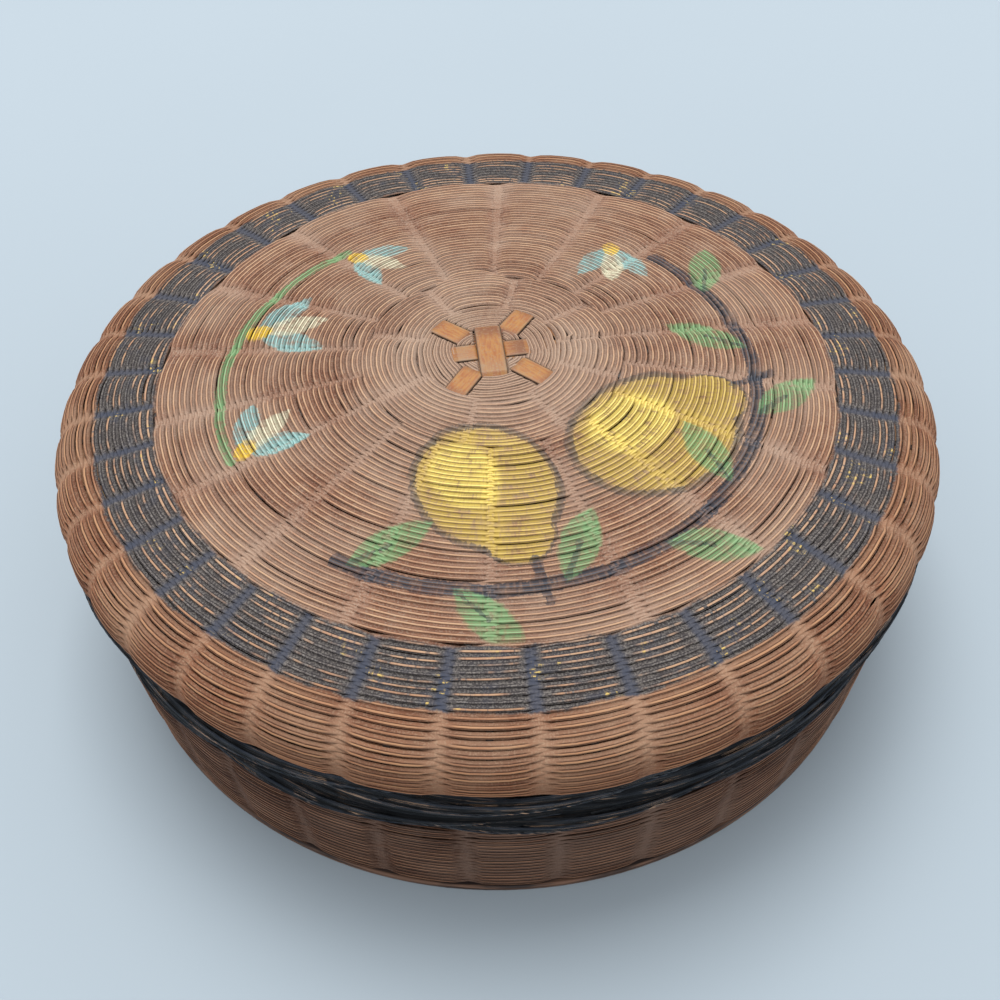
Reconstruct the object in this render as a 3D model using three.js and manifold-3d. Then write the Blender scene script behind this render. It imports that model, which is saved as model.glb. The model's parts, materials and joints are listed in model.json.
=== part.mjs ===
// Round lidded basket, woven of split reed on crossing bamboo slats.
// Millimetres, +Z up, the origin on the table under the middle of the foot.

import * as THREE from 'three';
import Module from 'manifold-3d';
import { mergeVertices } from 'three/addons/utils/BufferGeometryUtils.js';

const wasm = await Module();
wasm.setup();

// Clearances
const CLEARANCE = 0.3; // between pieces that touch
const LID_SLIP = 1.5; // round the seat hoop, so that the lid lifts off freely

// Slats, the flat bamboo splints that carry the weave
const SLAT_WIDTH = 7.5;
const SLAT_THICKNESS = 0.8;
const FIRST_SPLIT_RADIUS = 24; // each slat end is slit in two here
const FIRST_SPREAD = 18; // the length in which its halves part
const SECOND_SPLIT_RADIUS = 84; // each half is slit again here
const SECOND_SPREAD = 24;
const STACK_RADIUS = 13; // the crossing slats lie on each other out to here
const STACK_RELEASE = 8; // the length in which they rise against the weave
const ADDED_SLAT_START = 20; // the ninth, short slat is pushed in from here
const ADDED_SLAT_ANGLE = 27; // degrees, in the gap beside the cross slat

// Weave, the rows of split reed over and under the slats
const ROW_THICKNESS = 1.6; // where the rows cross, between two slats
const ROW_BULGE = 1.3; // how far the rows stand out over a slat
const CENTRE_HOLE_RADIUS = 5.5;
const CENTRE_ZONE_RADIUS = 38; // out to here the rows pass nine slat ends
const FIELD_ZONE_RADIUS = 100; // out to here they pass eighteen, and then thirty-six
const WINDOW_WIDTH = 6.4; // the crossing slats show through windows in the first rows
const WINDOW_START = 7;
const LONG_WINDOW_START = 4.5; // inside the hole, so that the window opens into it
const WINDOW_END = 15;
const LONG_WINDOW_END = 10;

// Spacing of the slats round the basket
const SLOT_COUNT = 36;
const SPACING_DRIFT = 3.4; // degrees that the hand-set spacing drifts, twice round
const DRIFT_PEAK = 153; // the angle at which the drift is greatest
const SPACING_OFFSET = 0.6;
const BASE_TURN = 2.2; // degrees from the lid's slats to the base's, as the lid was put on

// Base
const FOOT_HOOP_HEIGHT = 2;
const FOOT_HOOP_WIDTH = 6;
const BASE_CORNER_RADIUS = 4.3;
const BASE_FOOT_RADIUS = 125.8; // the wall's crest, just above the turn
const BASE_WALL_SPREAD = 1.8; // how much wider the wall's crest is under the border
const BASE_WALL_TOP = 37.2;
const FLOOR_EDGE_SLOPE = -2; // degrees, so the floor's middle stands off the table

// Lid
const LID_OVERHANG = 3.1; // of the lid's crest past the top of the base's wall
const LID_WALL_HEIGHT = 5.3; // the upright part, below the shoulder
const LID_SHOULDER_RADIUS = 12;
const LID_EDGE_SLOPE = 6; // degrees, where the dome meets the shoulder

// Borders, three strands twisted into a rope on each rim
const STRAND_COUNT = 3;
const TWIST_COUNT = 4; // full turns of the rope round the rim
const BORDER_WIDTH = 8.7;
const BASE_BORDER_STANDOUT = 1; // past the crest of the base's wall
const LID_BORDER_STANDOUT = 0.2; // past the crest of the lid's wall
const BASE_BORDER_HEIGHT = 11.7;
const LID_BORDER_HEIGHT = 13.6;
const ROPE_NEST = 0.85; // the leaning ropes sink past each other by this, and still keep CLEARANCE

// Seat hoop, the bamboo ring inside the base's border that keeps the lid in place
const SEAT_HOOP_THICKNESS = 1.6;
const SEAT_HOOP_RISE = 9; // above the base's border
const SEAT_HOOP_LAP = 1.5; // below the base's border

// Fineness of the curved forms
const DOME_STEPS = 3;
const BASE_CORNER_STEPS = 2;
const LID_SHOULDER_STEPS = 3;
const STRAND_STEPS = 36;
const STRAND_SIDES = 6;
const HOOP_STEPS = 48;
const LEAST_STEP = 1; // between two places along an outline
const WELD_REACH = 1e-4; // corners closer than this are one

// Derived heights, from the table up
const baseShellBottom = FOOT_HOOP_HEIGHT + CLEARANCE;
const baseBorderBottom = BASE_WALL_TOP + CLEARANCE;
const baseBorderTop = baseBorderBottom + BASE_BORDER_HEIGHT;
const lidBorderBottom = baseBorderTop - ROPE_NEST;
const lidBorderTop = lidBorderBottom + LID_BORDER_HEIGHT;
const lidWallBottom = lidBorderTop + CLEARANCE;
const lidShoulderBottom = lidWallBottom + LID_WALL_HEIGHT;

// Derived depths, measured inwards from the crest of the rows
const innerFaceDepth = ROW_BULGE + ROW_THICKNESS;
const slatDepth = innerFaceDepth + CLEARANCE;

// Derived radii
const baseTopRadius = BASE_FOOT_RADIUS + BASE_WALL_SPREAD;
const lidRadius = baseTopRadius + LID_OVERHANG;
const baseBorderRadius = baseTopRadius + BASE_BORDER_STANDOUT - BORDER_WIDTH / 2;
const lidBorderRadius = lidRadius + LID_BORDER_STANDOUT - BORDER_WIDTH / 2;
const seatHoopOuter = Math.min(
  baseBorderRadius - BORDER_WIDTH / 2 - CLEARANCE,
  lidBorderRadius - BORDER_WIDTH / 2 - LID_SLIP,
);

const radians = THREE.MathUtils.degToRad;

// The outline of a woven shell in (radius, height), as a dome, a round corner and a wall.
// u runs along the crest of the rows from the middle, and depth goes inwards from there.
// side is 1 where the outer side faces up and -1 where it faces down, and turn is the angle in
// degrees by which the shell's slats are turned about the basket's axis.
class ShellOutline {
  constructor({
    side, turn, cornerRadius, cornerEndRadius, cornerLevel, cornerSteps, edgeSlope, flare, wallLength,
  }) {
    this.side = side;
    this.turn = turn;
    this.cornerRadius = cornerRadius;
    this.cornerSteps = cornerSteps;
    this.startTilt = radians(edgeSlope);
    this.endTilt = Math.PI / 2 - flare;
    this.centreRadius = cornerEndRadius - cornerRadius * Math.sin(this.endTilt);
    this.centreHeight = cornerLevel;
    this.edgeRadius = this.centreRadius + cornerRadius * Math.sin(this.startTilt);
    this.rise = (Math.tan(this.startTilt) * this.edgeRadius) / 2;
    this.cornerLength = cornerRadius * (this.endTilt - this.startTilt);
    this.wallStart = this.edgeRadius + this.cornerLength;
    this.length = this.wallStart + wallLength;
  }

  point(u, depth) {
    let tilt;
    let radius;
    let level;
    if (u <= this.edgeRadius) {
      tilt = Math.atan((2 * this.rise * u) / this.edgeRadius ** 2);
      radius = u;
      level = this.cornerRadius * Math.cos(this.startTilt) + this.rise * (1 - (u / this.edgeRadius) ** 2);
    } else {
      const turned = Math.min(u, this.wallStart) - this.edgeRadius;
      const down = Math.max(u - this.wallStart, 0);
      tilt = this.startTilt + turned / this.cornerRadius;
      radius = this.centreRadius + this.cornerRadius * Math.sin(tilt) + down * Math.cos(tilt);
      level = this.cornerRadius * Math.cos(tilt) - down * Math.sin(tilt);
    }
    return {
      radius: radius - depth * Math.sin(tilt),
      height: this.centreHeight + this.side * (level - depth * Math.cos(tilt)),
    };
  }

  // The angle of a slot, one of the even places round the rim, with the drift of hand spacing
  slotAngle(slot) {
    const even = (slot * 360) / SLOT_COUNT;
    const drift = SPACING_DRIFT * Math.cos(2 * radians(even - DRIFT_PEAK));
    return radians(even + SPACING_OFFSET + drift + this.turn);
  }

  // Places along the outline between two others, closer together round the corner
  stations(from, to) {
    const inner = [];
    for (let i = 1; i < DOME_STEPS; i += 1) inner.push((this.edgeRadius * i) / DOME_STEPS);
    for (let i = 0; i <= this.cornerSteps; i += 1) {
      inner.push(this.edgeRadius + (this.cornerLength * i) / this.cornerSteps);
    }
    return [from, ...inner.filter((u) => u > from + LEAST_STEP && u < to - LEAST_STEP), to];
  }
}

const lidOutline = new ShellOutline({
  side: 1,
  turn: 0,
  cornerRadius: LID_SHOULDER_RADIUS,
  cornerEndRadius: lidRadius,
  cornerLevel: lidShoulderBottom,
  cornerSteps: LID_SHOULDER_STEPS,
  edgeSlope: LID_EDGE_SLOPE,
  flare: 0,
  wallLength: LID_WALL_HEIGHT,
});

const baseWallHeight = BASE_WALL_TOP - baseShellBottom - BASE_CORNER_RADIUS;
const baseFlare = Math.atan(BASE_WALL_SPREAD / baseWallHeight);
const flareLift = (slatDepth + SLAT_THICKNESS) * Math.sin(baseFlare); // of the slats' upper ends
const baseTurnDrop = BASE_CORNER_RADIUS * Math.sin(baseFlare);
const baseOutline = new ShellOutline({
  side: -1,
  turn: BASE_TURN,
  cornerRadius: BASE_CORNER_RADIUS,
  cornerEndRadius: BASE_FOOT_RADIUS,
  cornerLevel: baseShellBottom + BASE_CORNER_RADIUS,
  cornerSteps: BASE_CORNER_STEPS,
  edgeSlope: FLOOR_EDGE_SLOPE,
  flare: baseFlare,
  wallLength: (baseWallHeight + baseTurnDrop - flareLift) / Math.cos(baseFlare),
});

// Meshes from points and triangles
function indexed(points, triangles) {
  const geometry = new THREE.BufferGeometry();
  geometry.setAttribute('position', new THREE.Float32BufferAttribute(points.flat(), 3));
  geometry.setIndex(triangles.flat());
  geometry.computeVertexNormals();
  return geometry;
}

function onCircle(angle, radius, height) {
  return [radius * Math.cos(angle), radius * Math.sin(angle), height];
}

// A closed ring through equal loops, each loop lying in a plane through the axis
function loftRing(loops) {
  const size = loops[0].length;
  const triangles = [];
  loops.forEach((loop, i) => {
    const here = i * size;
    const there = ((i + 1) % loops.length) * size;
    for (let j = 0; j < size; j += 1) {
      const k = (j + 1) % size;
      triangles.push([here + j, there + k, there + j], [here + j, here + k, there + k]);
    }
  });
  return indexed(loops.flat(), triangles);
}

// Solids, for cutting
function toSolid(geometry) {
  const bare = geometry.clone();
  bare.deleteAttribute('normal');
  bare.deleteAttribute('uv');
  const merged = mergeVertices(bare, WELD_REACH);
  return new wasm.Manifold(new wasm.Mesh({
    numProp: 3,
    vertProperties: new Float32Array(merged.attributes.position.array),
    triVerts: new Uint32Array(merged.index.array),
  }));
}

function fromSolid(solid) {
  const mesh = solid.getMesh();
  const geometry = new THREE.BufferGeometry();
  geometry.setAttribute('position', new THREE.BufferAttribute(mesh.vertProperties, 3));
  geometry.setIndex(new THREE.BufferAttribute(mesh.triVerts, 1));
  geometry.computeVertexNormals();
  return geometry;
}

// The slat ends, by the slot that each lies in. Its second half spreads to the next but one
// slot: forwards on one side of the basket and backwards on the other.
const crossingSlots = [
  { name: 'long_slat', slot: 10, window: [LONG_WINDOW_START, LONG_WINDOW_END] },
  { name: 'right_diagonal_slat', slot: 6, window: [WINDOW_START, WINDOW_END] },
  { name: 'left_diagonal_slat', slot: 14, window: [WINDOW_START, WINDOW_END] },
  { name: 'cross_slat', slot: 0, window: null },
];
const ADDED_SLOT = 2;
const HALF_TURN = SLOT_COUNT / 2;

function partnerSlot(slot) {
  return slot > 0 && slot <= HALF_TURN ? slot + 2 : slot - 2;
}

// Rows bulge over each slat end of their zone and lie flat halfway between two
const centreCrests = [ADDED_SLOT, ...crossingSlots.flatMap(({ slot }) => [slot, slot + HALF_TURN])];
const fieldCrests = centreCrests.flatMap((slot) => [slot, partnerSlot(slot)]);
const rimCrests = fieldCrests.flatMap((slot) => [slot, slot + 1]);

function crestDepth(slot, crests) {
  const around = crests.map((crest) => (crest + SLOT_COUNT) % SLOT_COUNT).sort((a, b) => a - b);
  around.push(around[0] + SLOT_COUNT);
  const place = slot < around[0] ? slot + SLOT_COUNT : slot;
  const next = around.findIndex((crest) => crest > place);
  const [before, after] = [around[next - 1], around[next]];
  const along = (place - before) / (after - before);
  return ROW_BULGE * (1 - Math.abs(2 * along - 1));
}

// A band of weave between two places on an outline
function wovenBand(outline, from, to, crests, stepsPerSlot) {
  const outer = outline.stations(from, to);
  const inner = [...outer].reverse();
  const loops = [];
  for (let i = 0; i < SLOT_COUNT * stepsPerSlot; i += 1) {
    const slot = i / stepsPerSlot;
    const angle = outline.slotAngle(slot);
    const loop = [
      ...outer.map((u) => outline.point(u, crestDepth(slot, crests))),
      ...inner.map((u) => outline.point(u, innerFaceDepth)),
    ];
    if (outline.side < 0) loop.reverse();
    loops.push(loop.map(({ radius, height }) => onCircle(angle, radius, height)));
  }
  return loftRing(loops);
}

// Boxes through which the crossing slats show in the first rows
function windowBox(outline, slot, [start, end]) {
  const height = 4 * innerFaceDepth;
  const box = new THREE.BoxGeometry(end - start, WINDOW_WIDTH, height);
  box.translate((start + end) / 2, 0, outline.point(end, innerFaceDepth).height);
  box.rotateZ(outline.slotAngle(slot));
  return toSolid(box);
}

function centreWeave(outline) {
  const band = wovenBand(outline, CENTRE_HOLE_RADIUS, CENTRE_ZONE_RADIUS, centreCrests, 1);
  let solid = toSolid(band);
  for (const { slot, window } of crossingSlots.filter((slat) => slat.window)) {
    for (const end of [slot, slot + HALF_TURN]) {
      solid = solid.subtract(windowBox(outline, end, window));
    }
  }
  return fromSolid(solid);
}

// A slat is drawn as rows of points across it, one upper row and one lower row at each place
class SlatMesh {
  constructor(outline, layer) {
    this.outline = outline;
    this.layer = layer;
    this.points = [];
    this.triangles = [];
  }

  // How far the slat hangs below the weave where the slats cross
  drop(u) {
    const release = THREE.MathUtils.clamp((u - STACK_RADIUS) / STACK_RELEASE, 0, 1);
    return this.layer * (SLAT_THICKNESS + CLEARANCE) * (1 - release);
  }

  // One point, at a distance along the slat and a distance across it
  add(angle, u, across) {
    const depth = slatDepth + this.drop(u);
    const pair = [depth, depth + SLAT_THICKNESS].map((d) => {
      const { radius, height } = this.outline.point(u, d);
      const x = radius * Math.cos(angle) - across * Math.sin(angle);
      const y = radius * Math.sin(angle) + across * Math.cos(angle);
      return this.points.push([x, y, height]) - 1;
    });
    return { outer: pair[0], inner: pair[1] };
  }

  row(angle, u, acrosses) {
    return acrosses.map((across) => this.add(angle, u, across));
  }

  face(a, b, c) {
    this.triangles.push(this.outline.side > 0 ? [a, b, c] : [c, b, a]);
  }

  quad(a, b, c, d) {
    this.face(a, b, c);
    this.face(a, c, d);
  }

  // Joins two rows, which may have unlike numbers of points
  join(near, far) {
    let i = 0;
    let j = 0;
    while (i < near.length - 1 || j < far.length - 1) {
      const nearNext = (i + 1) / (near.length - 1);
      const farNext = (j + 1) / (far.length - 1);
      if (j === far.length - 1 || (i < near.length - 1 && nearNext <= farNext)) {
        this.face(near[i].outer, far[j].outer, near[i + 1].outer);
        this.face(near[i + 1].inner, far[j].inner, near[i].inner);
        i += 1;
      } else {
        this.face(near[i].outer, far[j].outer, far[j + 1].outer);
        this.face(far[j + 1].inner, far[j].inner, near[i].inner);
        j += 1;
      }
    }
    const [n0, f0] = [near[0], far[0]];
    const [n1, f1] = [near.at(-1), far.at(-1)];
    this.quad(n0.outer, n0.inner, f0.inner, f0.outer);
    this.quad(n1.outer, f1.outer, f1.inner, n1.inner);
  }

  cap(row, facing) {
    for (let i = 0; i < row.length - 1; i += 1) {
      const corners = [row[i].outer, row[i + 1].outer, row[i + 1].inner, row[i].inner];
      this.quad(...(facing > 0 ? corners.reverse() : corners));
    }
  }

  // One end, from a row at a distance from the middle: a strip, two halves and four tines
  grow(start, from, slot, angle) {
    const half = SLAT_WIDTH / 2;
    let row = start;
    for (const u of [STACK_RADIUS, STACK_RADIUS + STACK_RELEASE].filter((place) => place > from)) {
      const next = this.row(angle, u, [-half, 0, half]);
      this.join(row, next);
      row = next;
    }
    const split = this.row(angle, FIRST_SPLIT_RADIUS, [-half, 0, half]);
    this.join(row, split);
    const pair = [slot, partnerSlot(slot)].sort((a, b) => a - b);
    this.half(split.slice(0, 2), pair[0]);
    this.half(split.slice(1, 3), pair[1]);
  }

  half(start, slot) {
    const reach = SLAT_WIDTH / 4;
    const angle = this.outline.slotAngle(slot);
    let row = start;
    const middle = (FIRST_SPLIT_RADIUS + FIRST_SPREAD + SECOND_SPLIT_RADIUS) / 2;
    for (const u of [FIRST_SPLIT_RADIUS + FIRST_SPREAD, middle, SECOND_SPLIT_RADIUS]) {
      const next = this.row(angle, u, [-reach, 0, reach]);
      this.join(row, next);
      row = next;
    }
    this.tine(row.slice(0, 2), slot);
    this.tine(row.slice(1, 3), slot + 1);
  }

  tine(start, slot) {
    const reach = SLAT_WIDTH / 8;
    const angle = this.outline.slotAngle(slot);
    let row = start;
    const places = this.outline.stations(SECOND_SPLIT_RADIUS + SECOND_SPREAD, this.outline.length);
    for (const u of places) {
      const next = this.row(angle, u, [-reach, reach]);
      this.join(row, next);
      row = next;
    }
    this.cap(row, 1);
  }

  geometry() {
    return indexed(this.points, this.triangles);
  }
}

function crossingSlat(outline, slot, layer) {
  const slat = new SlatMesh(outline, layer);
  const half = SLAT_WIDTH / 2;
  const middle = slat.row(outline.slotAngle(slot), 0, [-half, 0, half]);
  for (const [end, row] of [[slot, middle], [slot + HALF_TURN, [...middle].reverse()]]) {
    slat.grow(row, 0, end, outline.slotAngle(end));
  }
  return slat.geometry();
}

function addedSlat(outline) {
  const slat = new SlatMesh(outline, 0);
  const half = SLAT_WIDTH / 2;
  const angle = radians(ADDED_SLAT_ANGLE + outline.turn);
  const start = slat.row(angle, ADDED_SLAT_START, [-half, 0, half]);
  slat.cap(start, -1);
  slat.grow(start, ADDED_SLAT_START, ADDED_SLOT, angle);
  return slat.geometry();
}

// Bars drawn in straight stretches come closest halfway along one, at this share of their distance
const stretchShare = Math.cos((Math.PI * TWIST_COUNT) / STRAND_STEPS);

// Equal bars that touch there wind round the rope's middle at this share of its half width
const wind = 1 / (1 + Math.sin(Math.PI / STRAND_COUNT) * stretchShare);

// Where a strand of the lid lies lowest and one of the base highest, they lie over each other:
// the lid's leans in and the base's leans out by half of the distance between the two ropes
const ropeOffset = (lidBorderRadius - baseBorderRadius) / 2;
const seatLean = Math.asin(Math.min(1, ropeOffset / (wind * (BORDER_WIDTH / 2))));

// One strand of a border rope, an oval bar that winds round the rope's middle line
function borderStrand(ropeRadius, ropeMiddle, ropeHeight, index, phase) {
  const halfWidth = BORDER_WIDTH / 2;
  const halfHeight = ropeHeight / 2;
  const barWidth = halfWidth * (1 - wind) - CLEARANCE / 2;
  const barHeight = halfHeight * (1 - wind) - CLEARANCE / 2;
  const loops = [];
  for (let i = 0; i < STRAND_STEPS; i += 1) {
    const angle = (2 * Math.PI * i) / STRAND_STEPS;
    const lay = TWIST_COUNT * angle + phase + (2 * Math.PI * index) / STRAND_COUNT;
    const radius = ropeRadius + halfWidth * wind * Math.cos(lay);
    const height = ropeMiddle + halfHeight * wind * Math.sin(lay);
    const loop = [];
    for (let j = 0; j < STRAND_SIDES; j += 1) {
      const round = (2 * Math.PI * (j + 0.5)) / STRAND_SIDES;
      loop.push(onCircle(
        angle,
        radius + barWidth * Math.cos(round),
        height - barHeight * Math.sin(round),
      ));
    }
    loops.push(loop);
  }
  return loftRing(loops);
}

// A plain hoop of rectangular section
function hoop(innerRadius, outerRadius, bottom, top) {
  const corners = [[innerRadius, bottom], [outerRadius, bottom], [outerRadius, top], [innerRadius, top]];
  const section = [...corners, corners[0]].map(([radius, height]) => new THREE.Vector2(radius, height));
  const lathe = new THREE.LatheGeometry(section, HOOP_STEPS);
  return lathe.rotateX(Math.PI / 2);
}

// Finishes
const finishes = {
  rows: { color: 0x8a5a44, roughness: 0.75, metalness: 0 },
  baseRows: { color: 0x6e4532, roughness: 0.75, metalness: 0 },
  slat: { color: 0xb9773a, roughness: 0.55, metalness: 0 },
  border: { color: 0x23262c, roughness: 0.6, metalness: 0 },
};

const basket = new THREE.Group();

function place(parent, name, geometry, finish) {
  const mesh = new THREE.Mesh(geometry, new THREE.MeshStandardMaterial(finish));
  mesh.name = name;
  parent.add(mesh);
}

// The weave and slats of one half of the basket
function dressShell(parent, prefix, outline, names, finish) {
  const seam = CLEARANCE / 2;
  const centreEnd = CENTRE_ZONE_RADIUS + seam;
  const fieldEnd = FIELD_ZONE_RADIUS + seam;
  place(parent, `${prefix}_${names.centre}`, centreWeave(outline), finish);
  place(
    parent,
    `${prefix}_${names.field}`,
    wovenBand(outline, centreEnd + seam, FIELD_ZONE_RADIUS - seam, fieldCrests, 1),
    finish,
  );
  place(
    parent,
    `${prefix}_${names.rim}`,
    wovenBand(outline, fieldEnd + seam, outline.length, rimCrests, 2),
    finish,
  );
  crossingSlots.forEach(({ name, slot }, layer) => {
    place(parent, `${prefix}_${name}`, crossingSlat(outline, slot, layer), finishes.slat);
  });
  place(parent, `${prefix}_added_slat`, addedSlat(outline), finishes.slat);
}

function dressBorder(parent, prefix, ropeRadius, bottom, height, phase) {
  for (let i = 0; i < STRAND_COUNT; i += 1) {
    place(
      parent,
      `${prefix}_border_strand_${i + 1}`,
      borderStrand(ropeRadius, bottom + height / 2, height, i, phase),
      finishes.border,
    );
  }
}

const base = new THREE.Group();
const baseNames = { centre: 'centre_weave', field: 'floor_weave', rim: 'wall_weave' };
dressShell(base, 'base', baseOutline, baseNames, finishes.baseRows);
dressBorder(base, 'base', baseBorderRadius, baseBorderBottom, BASE_BORDER_HEIGHT, Math.PI / 2 - seatLean);
place(
  base,
  'foot_hoop',
  hoop(BASE_FOOT_RADIUS - FOOT_HOOP_WIDTH, BASE_FOOT_RADIUS, 0, FOOT_HOOP_HEIGHT),
  finishes.slat,
);
place(
  base,
  'seat_hoop',
  hoop(
    seatHoopOuter - SEAT_HOOP_THICKNESS,
    seatHoopOuter,
    baseBorderBottom - SEAT_HOOP_LAP,
    baseBorderTop + SEAT_HOOP_RISE,
  ),
  finishes.slat,
);
basket.add(base);

const lid = new THREE.Group();
const lidNames = { centre: 'centre_weave', field: 'top_weave', rim: 'rim_weave' };
dressShell(lid, 'lid', lidOutline, lidNames, finishes.rows);
dressBorder(lid, 'lid', lidBorderRadius, lidBorderBottom, LID_BORDER_HEIGHT, -Math.PI / 2 - seatLean);
basket.add(lid);

export default basket;
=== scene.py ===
"""A round lidded basket of split reed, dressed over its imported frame.

The rows of reed are real strands that pass over and under split bamboo slats. Both rims
carry a twisted rope border, the lid has a painted ring and a painted spray, and two
bamboo hoops make the foot and the seat of the lid.
"""

import json
import logging
import math
from dataclasses import dataclass
from enum import Enum

import bpy
import numpy as np
from mathutils import Matrix, Vector

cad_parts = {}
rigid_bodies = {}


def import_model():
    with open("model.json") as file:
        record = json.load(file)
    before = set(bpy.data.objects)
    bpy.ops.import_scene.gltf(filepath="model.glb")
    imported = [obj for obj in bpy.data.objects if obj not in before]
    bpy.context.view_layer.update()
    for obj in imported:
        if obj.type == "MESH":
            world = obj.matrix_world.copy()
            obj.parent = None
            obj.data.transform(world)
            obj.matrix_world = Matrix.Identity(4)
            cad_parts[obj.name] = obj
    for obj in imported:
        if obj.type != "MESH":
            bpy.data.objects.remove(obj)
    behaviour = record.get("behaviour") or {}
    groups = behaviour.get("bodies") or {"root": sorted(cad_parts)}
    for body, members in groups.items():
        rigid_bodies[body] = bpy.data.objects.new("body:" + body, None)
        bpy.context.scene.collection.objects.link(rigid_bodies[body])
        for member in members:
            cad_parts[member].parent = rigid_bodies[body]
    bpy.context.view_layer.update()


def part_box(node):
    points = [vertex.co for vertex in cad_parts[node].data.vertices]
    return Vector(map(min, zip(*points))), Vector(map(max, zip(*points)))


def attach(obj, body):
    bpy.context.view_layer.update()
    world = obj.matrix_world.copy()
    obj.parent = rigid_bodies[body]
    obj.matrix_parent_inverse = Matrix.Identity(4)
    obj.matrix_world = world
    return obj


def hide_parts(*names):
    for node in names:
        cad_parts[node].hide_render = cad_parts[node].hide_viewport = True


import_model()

LOG = logging.getLogger("basket")

Array = np.ndarray
Colour = tuple[float, float, float]
Material = bpy.types.Material
Pair = tuple[float, float]
Thing = bpy.types.Object

# Sizes that the pieces share, in millimetres and degrees, as the frame has them
MM = 0.001
SEED = 7
SLOT_COUNT = 36
HALF_TURN = SLOT_COUNT // 2
SPACING_OFFSET = 0.6
SPACING_DRIFT = 3.4
DRIFT_PEAK = 153.0
CENTRE_START = 5.4
CENTRE_END = 37.7
RING_RADIUS = 100.0
RING_WIDTH = 17.4
FIELD_END = RING_RADIUS - 0.4
SLAT_WIDTH = 7.5
SLAT_THICKNESS = 0.5
SLIT_WIDTH = 0.1
CROSSING_SHARE = 0.06
TWIST_COUNT = 4
STRAND_COUNT = 3
STRAND_STEPS = 36
STRAND_CLEARANCE = 0.15
BORDER_WIDTH = 8.7
BORDER_OUTER = {"base": 128.6, "lid": 130.9}
BORDER_COVER = 1.8
CORE_SHARE = 0.62
BASE_TURN = 2.2
WIND = 1 / (1 + math.sin(math.pi / STRAND_COUNT) * math.cos(math.pi * TWIST_COUNT / STRAND_STEPS))


class Side(Enum):
    """The way that the outer side of a woven shell faces."""

    UP = 1
    DOWN = -1


class Body(Enum):
    """The two moving bodies of the frame."""

    BASE = "base"
    LID = "lid"


def smooth(low: float, high: float, value: Array) -> Array:
    """Gives a smooth step from 0 at low to 1 at high, which may be above low or below it."""
    share = np.clip((value - low) / (high - low), 0.0, 1.0)
    return share * share * (3.0 - 2.0 * share)


@dataclass(frozen=True)
class Outline:
    """The outline of a woven shell: a shallow dome, a round corner and a wall.

    A place on it is u, the distance along the crest of the rows from the middle, and a
    depth inwards from there. All sizes are in millimetres.
    """

    side: Side
    corner_radius: float
    corner_end_radius: float
    corner_level: float
    edge_slope: float
    flare: float
    wall_length: float
    turn: float = 0.0
    middle: Pair = (0.0, 0.0)
    shift_fades: Pair = (8.0, 92.0)

    def slot_angle(self, slot: Array | float) -> Array:
        """Gives the angle of a slot, with the drift of hand spacing.

        Args:
            slot: The slot, of 36 round the basket, whole or between two.

        Returns:
            The angle about the basket's axis, in radians.
        """
        even = np.asarray(slot, dtype=float) * 360.0 / SLOT_COUNT
        drift = SPACING_DRIFT * np.cos(2.0 * np.radians(even - DRIFT_PEAK))
        return np.radians(even + SPACING_OFFSET + drift + self.turn)

    def settle(self, points: Array) -> Array:
        """Shifts points near the middle to where the slats really cross, and leaves the rim.

        Args:
            points: Points in millimetres, with their axes last.

        Returns:
            The shifted points, in metres.
        """
        share = 1.0 - smooth(*self.shift_fades, np.hypot(points[..., 0], points[..., 1]))
        shift = np.stack([share * self.middle[0], share * self.middle[1], 0.0 * share], axis=-1)
        return (points + shift) * MM

    @property
    def start_tilt(self) -> float:
        """The tilt where the dome meets the corner, in radians."""
        return math.radians(self.edge_slope)

    @property
    def end_tilt(self) -> float:
        """The tilt of the wall, in radians."""
        return math.pi / 2 - self.flare

    @property
    def centre_radius(self) -> float:
        """The radius of the corner's own middle."""
        return self.corner_end_radius - self.corner_radius * math.sin(self.end_tilt)

    @property
    def edge_radius(self) -> float:
        """The radius at which the dome ends."""
        return self.centre_radius + self.corner_radius * math.sin(self.start_tilt)

    @property
    def wall_start(self) -> float:
        """The place where the corner ends and the wall starts."""
        return self.edge_radius + self.corner_radius * (self.end_tilt - self.start_tilt)

    @property
    def length(self) -> float:
        """The place where the wall ends."""
        return self.wall_start + self.wall_length

    def point(self, u: Array, depth: Array) -> tuple[Array, Array]:
        """Gives the radius and height of places on the shell.

        Args:
            u: The distances along the crest.
            depth: The depths inwards from the crest.

        Returns:
            The radii and the heights.
        """
        rise = math.tan(self.start_tilt) * self.edge_radius / 2
        turned = np.clip(u, self.edge_radius, self.wall_start) - self.edge_radius
        down = np.maximum(u - self.wall_start, 0.0)
        on_dome = u <= self.edge_radius
        slope = np.arctan(2.0 * rise * u / self.edge_radius**2)
        tilt = np.where(on_dome, slope, self.start_tilt + turned / self.corner_radius)
        dome_level = self.corner_radius * math.cos(self.start_tilt) + rise * (
            1.0 - (u / self.edge_radius) ** 2
        )
        turn_radius = self.centre_radius + self.corner_radius * np.sin(tilt) + down * np.cos(tilt)
        turn_level = self.corner_radius * np.cos(tilt) - down * np.sin(tilt)
        radius = np.where(on_dome, u, turn_radius) - depth * np.sin(tilt)
        level = np.where(on_dome, dome_level, turn_level) - depth * np.cos(tilt)
        return radius, self.corner_level + self.side.value * level


def lid_outline() -> Outline:
    """Gives the lid's outline, seated on its CAD shell.

    Returns:
        The outline.
    """
    low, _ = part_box("lid_rim_weave")
    wall_height = 5.3
    return Outline(
        side=Side.UP,
        corner_radius=12.0,
        corner_end_radius=130.7,
        corner_level=low[2] / MM + wall_height,
        edge_slope=6.0,
        flare=0.0,
        wall_length=wall_height,
        middle=(-1.2, 3.6),
    )


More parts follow.
